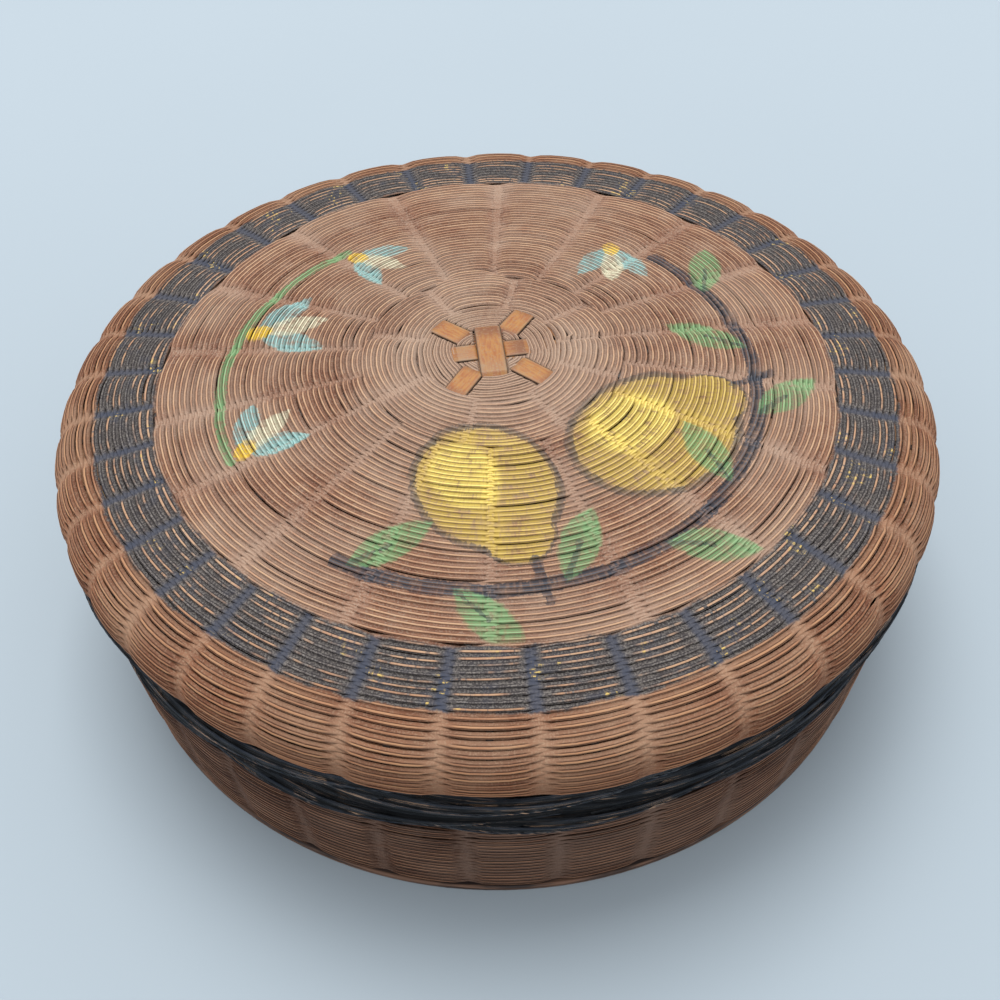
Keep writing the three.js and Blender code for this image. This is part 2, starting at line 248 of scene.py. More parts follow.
def base_outline() -> Outline:
    """Gives the base's outline, from the bottom and the top of its CAD shell.

    Returns:
        The outline.
    """
    low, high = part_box("base_wall_weave")
    corner = 4.3
    spread = 1.8
    wall_height = (high[2] - low[2]) / MM - corner
    flare = math.atan(spread / wall_height)
    return Outline(
        side=Side.DOWN,
        corner_radius=corner,
        corner_end_radius=125.8,
        corner_level=low[2] / MM + corner,
        edge_slope=-2.0,
        flare=flare,
        wall_length=(wall_height + corner * math.sin(flare)) / math.cos(flare),
        turn=BASE_TURN,
    )


# Meshes

def deselect() -> None:
    """Deselects every object, so that an operator acts only on what is picked next."""
    for thing in bpy.context.scene.objects:
        thing.select_set(False)


def tube_object(name: str, points: Array, closed: bool, flip: bool, marks: dict[str, Array]) -> Thing:
    """Makes one object of many tubes, each a row of rings.

    Args:
        name: The name of the object.
        points: Points in metres, by tube, ring, place round the ring and axis.
        closed: Whether each tube's last ring joins its first.
        flip: Whether the faces are turned round.
        marks: Values for the points, by the name of their attribute.

    Returns:
        The new object, smooth shaded.
    """
    tubes, rings, sides, _ = points.shape
    turn = -1 if flip else 1
    index = np.arange(tubes * rings * sides).reshape(tubes, rings, sides)
    near = index if closed else index[:, :-1]
    far = np.roll(index, -1, axis=1) if closed else index[:, 1:]
    corners = [near, far, np.roll(far, -1, axis=2), np.roll(near, -1, axis=2)]
    quads = np.stack(corners, axis=-1).reshape(-1, 4)[:, ::turn]
    caps = [] if closed else [cap for tube in index for cap in (tube[0, ::turn], tube[-1, ::-turn])]
    loops = np.concatenate([quads.ravel(), *caps])
    sizes = np.array([4] * len(quads) + [sides] * len(caps))
    mesh = bpy.data.meshes.new(name)
    mesh.vertices.add(index.size)
    mesh.vertices.foreach_set("co", points.astype(np.float32).ravel())
    mesh.loops.add(len(loops))
    mesh.loops.foreach_set("vertex_index", loops.astype(np.int32))
    mesh.polygons.add(len(sizes))
    mesh.polygons.foreach_set("loop_start", (np.cumsum(sizes) - sizes).astype(np.int32))
    mesh.polygons.foreach_set("use_smooth", np.ones(len(sizes), dtype=bool))
    mesh.update(calc_edges=True)
    for label, values in marks.items():
        mark = mesh.attributes.new(label, "FLOAT", "POINT")
        mark.data.foreach_set("value", np.broadcast_to(values, index.shape).astype(np.float32).ravel())
    mesh.validate()
    thing = bpy.data.objects.new(name, mesh)
    bpy.context.scene.collection.objects.link(thing)
    return thing


# Shader maths

class Term:
    """A shader socket that takes part in sums, products and comparisons."""

    def __init__(self, sheet: "NodeSheet", socket: bpy.types.NodeSocket) -> None:
        """Keeps the socket and the sheet that it is on."""
        self.sheet = sheet
        self.socket = socket

    def __add__(self, other: "Term | float") -> "Term":
        """Gives the sum."""
        return self.sheet.math("ADD", self, other)

    __radd__ = __add__

    def __sub__(self, other: "Term | float") -> "Term":
        """Gives the difference."""
        return self.sheet.math("SUBTRACT", self, other)

    def __rsub__(self, other: "Term | float") -> "Term":
        """Gives the difference the other way."""
        return self.sheet.math("SUBTRACT", other, self)

    def __mul__(self, other: "Term | float") -> "Term":
        """Gives the product."""
        return self.sheet.math("MULTIPLY", self, other)

    __rmul__ = __mul__

    def __truediv__(self, other: "Term | float") -> "Term":
        """Gives the quotient."""
        return self.sheet.math("DIVIDE", self, other)

    def __pow__(self, other: float) -> "Term":
        """Gives the power."""
        return self.sheet.math("POWER", self, other)

    def __abs__(self) -> "Term":
        """Gives the size without its sign."""
        return self.sheet.math("ABSOLUTE", self)

    def root(self) -> "Term":
        """Gives the square root."""
        return self.sheet.math("SQRT", self)

    def least(self, other: "Term | float") -> "Term":
        """Gives the lesser of the two."""
        return self.sheet.math("MINIMUM", self, other)

    def most(self, other: "Term | float") -> "Term":
        """Gives the greater of the two."""
        return self.sheet.math("MAXIMUM", self, other)

    def step(self, low: float, high: float) -> "Term":
        """Gives a smooth step.

        Args:
            low: Where the step is 0.
            high: Where it is 1, above low or below it.

        Returns:
            The stepped value, from 0 to 1.
        """
        node = self.sheet.node(
            "ShaderNodeMapRange",
            {"interpolation_type": "SMOOTHSTEP"},
            {"Value": self, "From Min": min(low, high), "From Max": max(low, high)},
        )
        rising = Term(self.sheet, node.outputs["Result"])
        return 1.0 - rising if low > high else rising


class NodeSheet:
    """A new material's nodes, with one method that adds any of them."""

    def __init__(self, name: str) -> None:
        """Makes the material and keeps its shader.

        Args:
            name: The material's name.
        """
        self.material = bpy.data.materials.new(name)
        self.material.use_nodes = True
        self.tree = self.material.node_tree
        self.shader = self.tree.nodes["Principled BSDF"]

    def node(self, kind: str, settings: dict, inputs: dict) -> bpy.types.Node:
        """Adds a node.

        Args:
            kind: The node's type.
            settings: Its properties.
            inputs: Values or terms for its sockets, by name or number.

        Returns:
            The node.
        """
        made = self.tree.nodes.new(kind)
        for key, value in settings.items():
            setattr(made, key, value)
        for key, value in inputs.items():
            self.feed(made.inputs[key], value)
        return made

    def feed(self, socket: bpy.types.NodeSocket, value: "Term | Colour | float") -> None:
        """Links a term to a socket, or sets the socket's value.

        Args:
            socket: The socket.
            value: The term, colour or number.
        """
        if isinstance(value, Term):
            self.tree.links.new(value.socket, socket)
        else:
            socket.default_value = (*value, 1.0) if socket.type == "RGBA" else value

    def math(self, operation: str, *terms: "Term | float") -> Term:
        """Adds a Math node and gives its result."""
        made = self.node("ShaderNodeMath", {"operation": operation}, dict(enumerate(terms)))
        return Term(self, made.outputs[0])

    def mix(
        self, share: "Term | float", first: "Term | Colour", second: "Term | Colour", way: str = "MIX"
    ) -> Term:
        """Mixes two colours.

        Args:
            share: How much of the second shows, from 0 to 1.
            first: The first colour.
            second: The second colour.
            way: How they are blended.

        Returns:
            The mixed colour.
        """
        settings = {"data_type": "RGBA", "clamp_factor": True, "blend_type": way}
        made = self.node("ShaderNodeMix", settings, {0: share, 6: first, 7: second})
        return Term(self, made.outputs[2])

    def join(self, x: "Term | float", y: "Term | float", z: "Term | float") -> Term:
        """Joins three numbers into a vector."""
        made = self.node("ShaderNodeCombineXYZ", {}, {0: x, 1: y, 2: z})
        return Term(self, made.outputs[0])

    def noise(self, place: Term, scale: float, detail: float = 2.0) -> Term:
        """Gives soft noise.

        Args:
            place: Where it is read.
            scale: How many of its clouds go into one unit of the place.
            detail: How fine it goes on.

        Returns:
            The noise, from 0 to 1.
        """
        inputs = {"Vector": place, "Scale": scale, "Detail": detail}
        made = self.node("ShaderNodeTexNoise", {}, inputs)
        return Term(self, made.outputs["Fac"])

    def marks(self, *labels: str) -> list[Term]:
        """Gives the values of mesh attributes."""
        nodes = [self.node("ShaderNodeAttribute", {"attribute_name": label}, {}) for label in labels]
        return [Term(self, node.outputs["Fac"]) for node in nodes]

    def place(self) -> tuple[Term, Term, Term, Term]:
        """Gives where a point is.

        Returns:
            The Object coordinates, and x, y and z apart, in millimetres.
        """
        coordinate = Term(self, self.node("ShaderNodeTexCoord", {}, {}).outputs["Object"])
        inputs = {0: coordinate, "Scale": 1.0 / MM}
        scale = self.node("ShaderNodeVectorMath", {"operation": "SCALE"}, inputs)
        scaled = Term(self, scale.outputs[0])
        split = self.node("ShaderNodeSeparateXYZ", {}, {0: scaled})
        return scaled, *(Term(self, split.outputs[i]) for i in range(3))

    def dress(self, colour: Term, roughness: "Term | float", relief: Term, bump: Pair) -> Material:
        """Feeds the shader.

        Args:
            colour: The base colour.
            roughness: The roughness.
            relief: The height of the fine relief, from 0 to 1.
            bump: The strength and the depth, in metres, that it shows with.

        Returns:
            The material.
        """
        inputs = {"Height": relief, "Strength": bump[0], "Distance": bump[1]}
        made = self.node("ShaderNodeBump", {}, inputs)
        self.tree.links.new(made.outputs["Normal"], self.shader.inputs["Normal"])
        self.feed(self.shader.inputs["Base Color"], colour)
        self.feed(self.shader.inputs["Roughness"], roughness)
        return self.material


# Painted spray on the lid: shapes in the plane of the lid, in millimetres and degrees

def around(centre: Pair, radius: float, degrees: float) -> Pair:
    """Gives the point on a circle at an angle."""
    turn = math.radians(degrees)
    return centre[0] + radius * math.cos(turn), centre[1] + radius * math.sin(turn)


@dataclass(frozen=True)
class Spot:
    """Where a shape is painted: its middle, the angle of its long way, and half its two sizes."""

    centre: Pair
    turn: float
    half: Pair


@dataclass(frozen=True)
class Brush:
    """The plane in which the spray is painted, and how its paint lies on the rows.

    A shape is a term that is under 1 inside it, and 1 at its edge. Its edge wavers.
    """

    sheet: NodeSheet
    x: Term
    y: Term
    waver: Term
    cover: Term
    line: Term
    raggedness: float = 1.6
    edge: Pair = (1.12, 0.88)

    def local(self, centre: Pair, turn: float) -> tuple[Term, Term]:
        """Gives places along and across a shape.

        Args:
            centre: The middle of the shape.
            turn: The angle of its long way.

        Returns:
            The distances along and across.
        """
        cosine, sine = math.cos(math.radians(turn)), math.sin(math.radians(turn))
        dx, dy = self.x - centre[0], self.y - centre[1]
        return dx * cosine + dy * sine, dy * cosine - dx * sine

    def oval(self, spot: Spot) -> Term:
        """Gives an oval.

        Args:
            spot: Where it is.

        Returns:
            The shape.
        """
        along, across = self.local(spot.centre, spot.turn)
        square = (along / spot.half[0]) ** 2.0 + (across / spot.half[1]) ** 2.0
        return square.root() + self.waver * (self.raggedness / min(spot.half))

    def leaf(self, spot: Spot) -> Term:
        """Gives a pointed leaf.

        Args:
            spot: Where it is.

        Returns:
            The shape.
        """
        along, across = self.local(spot.centre, spot.turn)
        inside = (along / spot.half[0]) ** 2.0 + abs(across) / spot.half[1]
        return inside + self.waver * (self.raggedness / spot.half[1])

    def stroke(self, start: Pair, end: Pair, half_width: float) -> Term:
        """Gives a straight stroke with round ends.

        Args:
            start: Where it starts.
            end: Where it ends.
            half_width: Half its width.

        Returns:
            The shape.
        """
        turn = math.degrees(math.atan2(end[1] - start[1], end[0] - start[0]))
        along, across = self.local(start, turn)
        past = (along - math.dist(start, end)).most(along * -1.0).most(0.0)
        reach = (past * past + across * across).root()
        return reach / half_width + self.waver * (self.raggedness / half_width)

    def arc(self, centre: Pair, radius: float, half_width: float, angles: Pair) -> Term:
        """Gives a curved stroke.

        Args:
            centre: The middle of its circle.
            radius: The circle's radius.
            half_width: Half the stroke's width.
            angles: Where it starts and where it ends.

        Returns:
            The shape.
        """
        middle = math.radians(sum(angles) / 2)
        end = math.cos(math.radians(abs(angles[1] - angles[0]) / 2))
        dx, dy = self.x - centre[0], self.y - centre[1]
        reach = (dx * dx + dy * dy).root()
        ahead = (dx * math.cos(middle) + dy * math.sin(middle)) / reach
        past_ends = ahead.step(end - 0.02, end + 0.02) * -4.0 + 4.0
        shape = abs(reach - radius) / half_width + past_ends
        return shape + self.waver * (self.raggedness / half_width)

    def lay(self, under: Term, shape: Term, colour: Colour, share: float = 1.0) -> Term:
        """Lays one colour inside a shape, lighter along the crest lines of the rows.

        Args:
            under: The colour under it.
            shape: The shape.
            colour: The paint.
            share: How much of it covers, from 0 to 1.

        Returns:
            The painted colour.
        """
        # Painted highlight along the crest lines from a lighter copy of the paint; a darker copy where
        # the paint is thin, which is partly painted shade in the creases.
        light = tuple(min(1.0, 1.45 * part + 0.05) for part in colour)
        deep = tuple(0.72 * part for part in colour)
        body = self.sheet.mix(self.cover.step(0.2, 0.7), deep, colour)
        tint = self.sheet.mix(self.line * 0.6, body, light)
        return self.sheet.mix(shape.step(*self.edge) * self.cover * share, under, tint)


@dataclass(frozen=True)
class Spray:
    """A painted spray: two quinces hang from a curved bough, with leaves and bell flowers."""

    ochre: Colour = (0.46, 0.32, 0.075)
    straw: Colour = (0.66, 0.50, 0.12)
    slate: Colour = (0.035, 0.040, 0.052)
    green: Colour = (0.15, 0.30, 0.13)
    teal: Colour = (0.22, 0.40, 0.38)
    cream: Colour = (0.56, 0.53, 0.37)
    yolk: Colour = (0.66, 0.42, 0.04)
    middle: Pair = (-2.0, -6.0)
    bough_radius: float = 78.0
    bough_angles: Pair = (-122.0, 48.0)
    bough_half_width: float = 2.2
    stem_angles: Pair = (124.0, 206.0)
    stem_half_width: float = 1.5
    leaf_places: range = range(-118, 50, 21)
    leaf_headings: Pair = (148.0, 52.0)
    leaf_half: Pair = (12.5, 5.2)
    vein_half_width: float = 0.7
    bells: tuple[Pair, ...] = ((126.0, 0.95), (163.0, 1.15), (203.0, 1.0), (57.0, 1.0))
    bell_heading: float = 210.0
    petal_half: Pair = (9.5, 3.6)
    fruits: tuple[Spot, ...] = (
        Spot((44.0, -31.0), 38.0, (25.0, 20.5)),
        Spot((-3.0, -50.0), -64.0, (22.0, 18.5)),
    )

    def paint(self, brush: Brush, colour: Term) -> Term:
        """Paints the spray.

        Args:
            brush: The brush that it is painted with.
            colour: The colour under it.

        Returns:
            The painted colour.
        """
        bough = brush.arc(self.middle, self.bough_radius, self.bough_half_width, self.bough_angles)
        colour = brush.lay(colour, bough, self.slate, 0.95)
        stem = brush.arc(self.middle, self.bough_radius, self.stem_half_width, self.stem_angles)
        colour = brush.lay(colour, stem, self.green, 0.9)
        for fruit in self.fruits:
            colour = self.paint_fruit(brush, colour, fruit)
        for count, degrees in enumerate(self.leaf_places):
            root = around(self.middle, self.bough_radius, degrees)
            heading = degrees + self.leaf_headings[count % 2]
            centre = around(root, self.leaf_half[0], heading)
            leaf = brush.leaf(Spot(centre, heading, self.leaf_half))
            colour = brush.lay(colour, leaf, self.green, 0.85)
            vein = brush.stroke(root, centre, self.vein_half_width)
            colour = brush.lay(colour, vein, self.slate, 0.7)
        for degrees, size in self.bells:
            root = around(self.middle, self.bough_radius - 3.0, degrees)
            colour = self.paint_bell(brush, colour, root, degrees + self.bell_heading, size)
        return colour

    def paint_fruit(self, brush: Brush, colour: Term, fruit: Spot) -> Term:
        """Paints one quince, a round body and a short neck, with its lit side, outline and stalk.

        Args:
            brush: The brush.
            colour: The colour under it.
            fruit: Where its body is.

        Returns:
            The painted colour.
        """
        long, wide = fruit.half
        neck = around(fruit.centre, long * 0.86, fruit.turn)
        shape = brush.oval(fruit).least(brush.oval(Spot(neck, fruit.turn, (long * 0.42, wide * 0.5))))
        colour = brush.lay(colour, shape, self.ochre)
        lit = Spot(around(fruit.centre, wide * 0.35, 150.0), fruit.turn, (long * 0.55, wide * 0.5))
        colour = brush.lay(colour, brush.oval(lit), self.straw)
        colour = brush.lay(colour, abs(shape - 1.03) * 19.0, self.slate, 0.7)
        stalk = around(neck, long * 0.4, fruit.turn)
        tip = around(stalk, 13.0, fruit.turn - 12.0)
        return brush.lay(colour, brush.stroke(stalk, tip, 1.3), self.slate, 0.9)

    def paint_bell(self, brush: Brush, colour: Term, root: Pair, heading: float, size: float) -> Term:
        """Paints one bell flower: a fan of pale petals that opens from a yellow heart.

        Args:
            brush: The brush.
            colour: The colour under it.
            root: Where it hangs from the stem.
            heading: The angle that it opens in.
            size: Its size, as a share of the usual one.

        Returns:
            The painted colour.
        """
        half = (self.petal_half[0] * size, self.petal_half[1] * size)
        for spread, tint in ((-33.0, self.teal), (33.0, self.teal), (0.0, self.cream)):
            turn = heading + spread
            petal = brush.leaf(Spot(around(root, half[0] * 1.15, turn), turn, half))
            colour = brush.lay(colour, petal, tint, 0.9)
        heart = Spot(around(root, 2.0, heading), heading, (3.6 * size, 2.8 * size))
        return brush.lay(colour, brush.oval(heart), self.yolk)


# Finishes

class Paint(Enum):
    """What is painted over the rows."""

    NONE = "none"
    LID = "lid"


class RowTerms:
    """What the reed's material reads at a place: where it is, its row's form, and noises."""

    def __init__(self, sheet: NodeSheet) -> None:
        """Reads the coordinates and the marks of the rows, and makes the noises.

        Args:
            sheet: The material's nodes.
        """
        place, self.x, self.y, self.z = sheet.place()
        crest, wave, self.row = sheet.marks("crest", "wave", "row")
        self.radius = (self.x * self.x + self.y * self.y).root()
        along = sheet.join(self.x / self.radius * 9.0, self.y / self.radius * 9.0, self.row * 53.0)
        self.streak = sheet.noise(along, 1.5)
        self.fleck = sheet.noise(along, 9.0)
        self.cloud = sheet.noise(place, 0.024, 3.0)
        self.patch = sheet.noise(place, 0.10)
        self.grit = sheet.noise(place, 2.1)
        self.line = crest.step(0.66, 0.95)
        # Mask of the creases beside each crest, where the painted shade goes.
        self.crease = crest.step(0.30, 0.48) * crest.step(0.96, 0.76)
        self.bulge = wave.step(0.30, 0.72)
        self.column = wave.step(0.42, 0.08)
        self.outside = crest.step(-0.35, -0.05)


@dataclass(frozen=True)
class ReedFinish:
    """Stained split reed, worn pale on its crests and dusty where the rows cross."""

    name: str
    stain: Colour
    stain_dark: Colour
    worn: Colour
    worn_red: Colour
    # Colour of the painted shade, with some dirt, in the creases beside the crests.
    crease_shade: Colour
    dust: Colour
    dust_share: float
    crease_shade_share: float
    paint: Paint = Paint.NONE
    rim_tint: Colour = (0.84, 0.73, 0.635)
    low_shade_tint: Colour = (0.80, 0.68, 0.60)
    slate: Colour = (0.052, 0.060, 0.084)
    slate_pale: Colour = (0.25, 0.225, 0.20)
    ring_dark: Colour = (0.062, 0.055, 0.055)
    # Colour of the painted shade in the creases of the dark ring.
    ring_crease_shade: Colour = (0.010, 0.009, 0.010)
    gold: Colour = (0.66, 0.46, 0.13)

    def build(self) -> Material:
        """Builds the material.

        Returns:
            The material.
        """
        sheet = NodeSheet(self.name)
        at = RowTerms(sheet)
        streak, row = at.streak, at.row
        specks = at.grit.step(0.48, 0.64)
        stain = sheet.mix(streak.step(0.34, 0.66) * 0.6 + row * 0.4, self.stain_dark, self.stain)
        stain = sheet.mix(at.cloud.step(0.38, 0.62) * 0.45, stain, self.dust)
        stain = sheet.mix(specks * (at.patch * 0.5 + 0.35) * self.dust_share, stain, self.dust)
        # Painted shade with some dirt: the creases beside each crest darken, more so on the rim.
        crease_shade_amount = at.fleck.step(0.2, 0.5) * 0.3 + self.crease_shade_share + at.radius.step(112.0, 122.0) * 0.2
        stain = sheet.mix(at.crease * at.bulge * crease_shade_amount, stain, self.crease_shade)
        worn_share = at.line * (at.bulge * 0.85 + 0.15) * (at.fleck.step(0.22, 0.55) * 0.35 + 0.65)
        worn_share = worn_share * (row * 0.5 + 0.5)
        worn = sheet.mix(streak.step(0.32, 0.62) * 0.7 + row * 0.3, self.worn_red, self.worn)
        colour = sheet.mix(worn_share * 0.9, stain, worn)
        field = at.radius.step(RING_RADIUS + 4.0, RING_RADIUS - 4.0)
        dusty = at.column * (0.62 - field * 0.34) + at.patch.step(0.46, 0.74) * 0.4
        dusty = dusty * (specks * 0.45 + 0.55) * self.dust_share
        if self.paint is Paint.LID:
            dusty = dusty + at.radius.step(44.0, 14.0) * (at.grit * 0.6 + 0.1)
        colour = sheet.mix(dusty * at.outside, colour, self.dust)
        if self.paint is Paint.LID:
            colour = sheet.mix(at.radius.step(108.0, 120.0), colour, self.rim_tint, "MULTIPLY")
            # Painted shade: the lid's rim darkens towards the ropes below it.
            low = at.z.step(77.0, 64.0) * (0.7 + at.patch * 0.3)
            colour = sheet.mix(low, colour, self.low_shade_tint, "MULTIPLY")
            colour = self.painted(sheet, at, colour)
        sheet.shader.inputs["Specular IOR Level"].default_value = 0.18
        relief = at.grit + at.fleck * 0.4
        return sheet.dress(colour, 0.78 - worn_share * 0.26, relief, (0.35, 0.00014))

    def painted(self, sheet: NodeSheet, at: RowTerms, ground: Term) -> Term:
        """Paints the spray and the dark ring over the rows of the lid.

        Args:
            sheet: The material's nodes.
            at: What it reads at a place.
            ground: The colour of the bare rows.

        Returns:
            The painted colour.
        """
        # Painted shade in the creases: the dark ring goes near black there and the spray's paint thins.
        shaded_crease = at.crease * at.bulge
        waver = at.patch - 0.5
        brushed = at.streak.step(0.30, 0.52) * 0.45 + at.fleck.step(0.34, 0.52) * 0.35 + 0.2
        inside_ring = at.radius.step(RING_RADIUS, RING_RADIUS - 3.0)
        cover = brushed * at.outside * (1.0 - shaded_crease * 0.75) * inside_ring
        wander = waver * 0.7 + (at.fleck - 0.5) * 1.5 + (at.streak - 0.5) * 1.1
        colour = Spray().paint(Brush(sheet, at.x, at.y, wander, cover, at.line), ground)
        edge = at.radius + ((at.fleck - 0.5) * 1.4 + waver * 3.0)
        outer = RING_RADIUS + RING_WIDTH
        ring = edge.step(RING_RADIUS - 0.6, RING_RADIUS + 0.6) * edge.step(outer + 0.5, outer - 0.5)
        dark = sheet.mix(at.grit.step(0.42, 0.64) * 0.65, self.ring_dark, self.slate_pale)
        dark = sheet.mix(shaded_crease * 0.9, dark, self.ring_crease_shade)
        slate = sheet.mix(at.column * 0.8 + at.patch.step(0.5, 0.66) * 0.4, dark, self.slate)
        thin = (at.streak * 0.62 + at.row * 0.38).step(0.38, 0.52)
        bare = at.line * at.bulge * thin * at.patch.step(0.30, 0.48) * at.fleck.step(0.30, 0.46)
        colour = sheet.mix(ring * at.outside * (1.0 - bare * 0.9) * 0.98, colour, slate)
        spark = at.fleck.step(0.50, 0.58) * at.grit.step(0.40, 0.50) * at.patch.step(0.59, 0.65)
        spark = spark * (at.line * 0.85 + 0.15)
        return sheet.mix(spark * ring * at.outside * 0.85, colour, self.gold)


@dataclass(frozen=True)
class SlatFinish:
    """Orange-tan split bamboo with a fine lengthwise grain and dust at its edges.

    Its tone changes along the windows of the lid. Painted shade darkens the ends of its windows, its
    side edges and where the rows hide it.
    """

    name: str = "bamboo_slat"
    warm: Colour = (0.30, 0.088, 0.014)
    deep: Colour = (0.13, 0.034, 0.008)
    pale: Colour = (0.38, 0.170, 0.037)
    dust: Colour = (0.30, 0.190, 0.108)
    hidden_shade: Colour = (0.030, 0.016, 0.010)
    shown_to: float = 21.0

    def build(self) -> Material:
        """Builds the material.

        Returns:
            The material.
        """
        sheet = NodeSheet(self.name)
        place, *_ = sheet.place()
        across, grain, along = sheet.marks("across", "grain", "along")
        fibre = sheet.noise(sheet.join(grain * 2.1, along * 0.11, 0.0), 2.2, 3.0)
        cloud = sheet.noise(place, 0.22)
        grit = sheet.noise(place, 1.8)
        pale_share = fibre.step(0.36, 0.62) * 0.75 + cloud.step(0.4, 0.62) * 0.25
        colour = sheet.mix(pale_share, self.warm, self.pale)
        reach, aside = abs(along), abs(across)
        far_end = along.step(3.5, 9.0) * along.step(10.3, 9.9)
        # Painted shade at the ends of the windows, where the slat goes under the rows.
        window_end_shade = reach.step(18.0, 20.5) + reach.step(12.0, 10.0) * reach.step(9.9, 10.1)
        colour = sheet.mix(far_end * 0.7 + window_end_shade * 0.4, colour, self.deep)
        near_end = along.step(-2.5, -8.5) * along.step(-10.2, -9.8)
        dusty = near_end * 0.42 + aside.step(0.72, 1.0) * 0.4 + grit.step(0.50, 0.68) * 0.4
        colour = sheet.mix(dusty, colour, self.dust)
        # Painted shade on the side edges and on the stretches that the rows hide.
        colour = sheet.mix(aside.step(0.93, 0.99) * 0.8, colour, self.hidden_shade)
        colour = sheet.mix(reach.step(self.shown_to, self.shown_to + 1.5), colour, self.hidden_shade)
        return sheet.dress(colour, 0.42 + fibre * 0.25, fibre, (0.3, 0.0002))


@dataclass(frozen=True)
class BorderFinish:
    """Blue-black stain on the border strands, scuffed grey and worn through to tan in places."""

    name: str = "border_stain"
    black: Colour = (0.0025, 0.003, 0.004)
    blue: Colour = (0.021, 0.028, 0.042)
    scuff: Colour = (0.16, 0.165, 0.175)
    bare: Colour = (0.50, 0.31, 0.19)

    def build(self) -> Material:
        """Builds the material.

        Returns:
            The material.
        """
        sheet = NodeSheet(self.name)
        place, x, y, _ = sheet.place()
        ridge, seam_shade, roll_x, roll_y = sheet.marks("ridge", "seam_shade", "roll_x", "roll_y")
        # Painted shade at the seam between the ropes and on the core: the blue, the scuffs and the bare
        # reed fade out there, leaving black.
        outside_seam_shade = 1.0 - seam_shade * 0.92
        angle = sheet.math("ARCTAN2", y, x)
        round_place = sheet.join(roll_x * 9.0, roll_y * 9.0, angle * 5.0)
        grain = sheet.noise(round_place, 1.9, 4.0)
        streak = sheet.noise(round_place, 0.5)
        patch = sheet.noise(place, 0.09, 3.0)
        hair = sheet.noise(sheet.join(roll_x * 34.0, roll_y * 34.0, angle * 9.0), 1.0)
        blue = grain.step(0.34, 0.58) * ridge.step(0.40, 0.80) * outside_seam_shade
        colour = sheet.mix(blue, self.black, self.blue)
        scuffed = hair.step(0.50, 0.62) * (ridge * 0.7 + 0.3) * (patch.step(0.34, 0.56) * 0.8 + 0.2)
        colour = sheet.mix(scuffed * outside_seam_shade * 0.62, colour, self.scuff)
        bared = grain.step(0.52, 0.60) * streak.step(0.50, 0.57) * patch.step(0.44, 0.52)
        colour = sheet.mix(bared * hair.step(0.36, 0.5) * outside_seam_shade * 0.9, colour, self.bare)
        sheet.shader.inputs["Specular IOR Level"].default_value = 0.15
        return sheet.dress(colour, 0.5 + grain * 0.3, grain, (0.9, 0.0004))


@dataclass(frozen=True)
class HoopFinish:
    """Plain bamboo hoop with a long grain."""

    name: str
    dark: Colour
    pale: Colour
    shade_within: float = 0.0
    dark_top: float = 0.0
    dark_radius: float = 118.8
    stain: Colour = (0.010, 0.009, 0.009)

    def build(self) -> Material:
        """Builds the material.

        Returns:
            The material.
        """
        sheet = NodeSheet(self.name)
        place, x, y, z = sheet.place()
        radius = (x * x + y * y).root()
        long_way = sheet.join(x / radius * 6.0, y / radius * 6.0, z * 2.4 + radius * 1.7)
        grain = sheet.noise(long_way, 1.0, 4.0)
        patch = sheet.noise(place, 0.06)
        worn = grain.step(0.38, 0.60) * (patch * 0.5 + 0.5)
        # Painted shade: inside this radius the hoop keeps its dark colour, where it meets the wall
        # above it.
        if self.shade_within:
            edge = radius + (grain - 0.5) * 2.4 + (patch - 0.5) * 3.0
            worn = worn * edge.step(self.shade_within - 0.5, self.shade_within + 0.5)
        colour = sheet.mix(worn, self.dark, self.pale)
        # The outer face is made near black below this height, where the hoop meets the rope.
        if self.dark_top:
            outer = radius.step(self.dark_radius, self.dark_radius + 0.5)
            darkened = outer * z.step(self.dark_top + 1.0, self.dark_top - 1.0)
            colour = sheet.mix(darkened * (0.8 + grain * 0.2), colour, self.stain)
        return sheet.dress(colour, 0.5 + grain * 0.2, grain, (0.3, 0.0002))


def finish_piece(piece: Thing, body: Body, slot: str, material: Material, *nodes: str) -> None:
    """Gives a piece its material and body, and hides the CAD nodes that it stands for.

    Args:
        piece: The finished piece.
        body: The body that it rides on.
        slot: Not used.
        material: Its material.
        nodes: The CAD nodes that it replaces.
    """
    piece.data.materials.clear()
    piece.data.materials.append(material)
    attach(piece, body.value)
    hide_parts(*nodes)
    LOG.info("%s: %d faces", piece.name, len(piece.data.polygons))


# Weave

FLAT_END = 20.0
FLAT_FADE = (0.5, 2.5)
FLAT_PITCH = 1.02
FLAT_SWING = 0.5
WINDOW_EDGE = (0.55, 0.15)
WINDOW_END = 0.3
CENTRE_PITCHES = ((FLAT_END, FLAT_PITCH), (CENTRE_END, 0.74))
CENTRE_SLOTS = (0, 2, 6, 10, 14, 18, 24, 28, 32)
ADDED_SLOT = 2
ADDED_SLAT_ANGLE = 27.0


@dataclass(frozen=True)
class Shown:
    """A crossing slat: its slot, and the stretch of it that lies on the first rows."""

    slot: int
    start: float
    end: float
    turn: float
    width: float = SLAT_WIDTH
    depth: float = 0.0


CROSSING_SLATS = {
    "long_slat": Shown(10, -1.0, 9.8, -4.0, 8.1, 0.16),
    "right_diagonal_slat": Shown(6, 10.0, 20.0, 2.1, 7.1, 0.62),
    "left_diagonal_slat": Shown(14, 10.0, 20.0, -1.3, 7.1, 0.64),
    "cross_slat": Shown(0, 4.4, 10.4, 5.4, 7.1, 0.60),
}


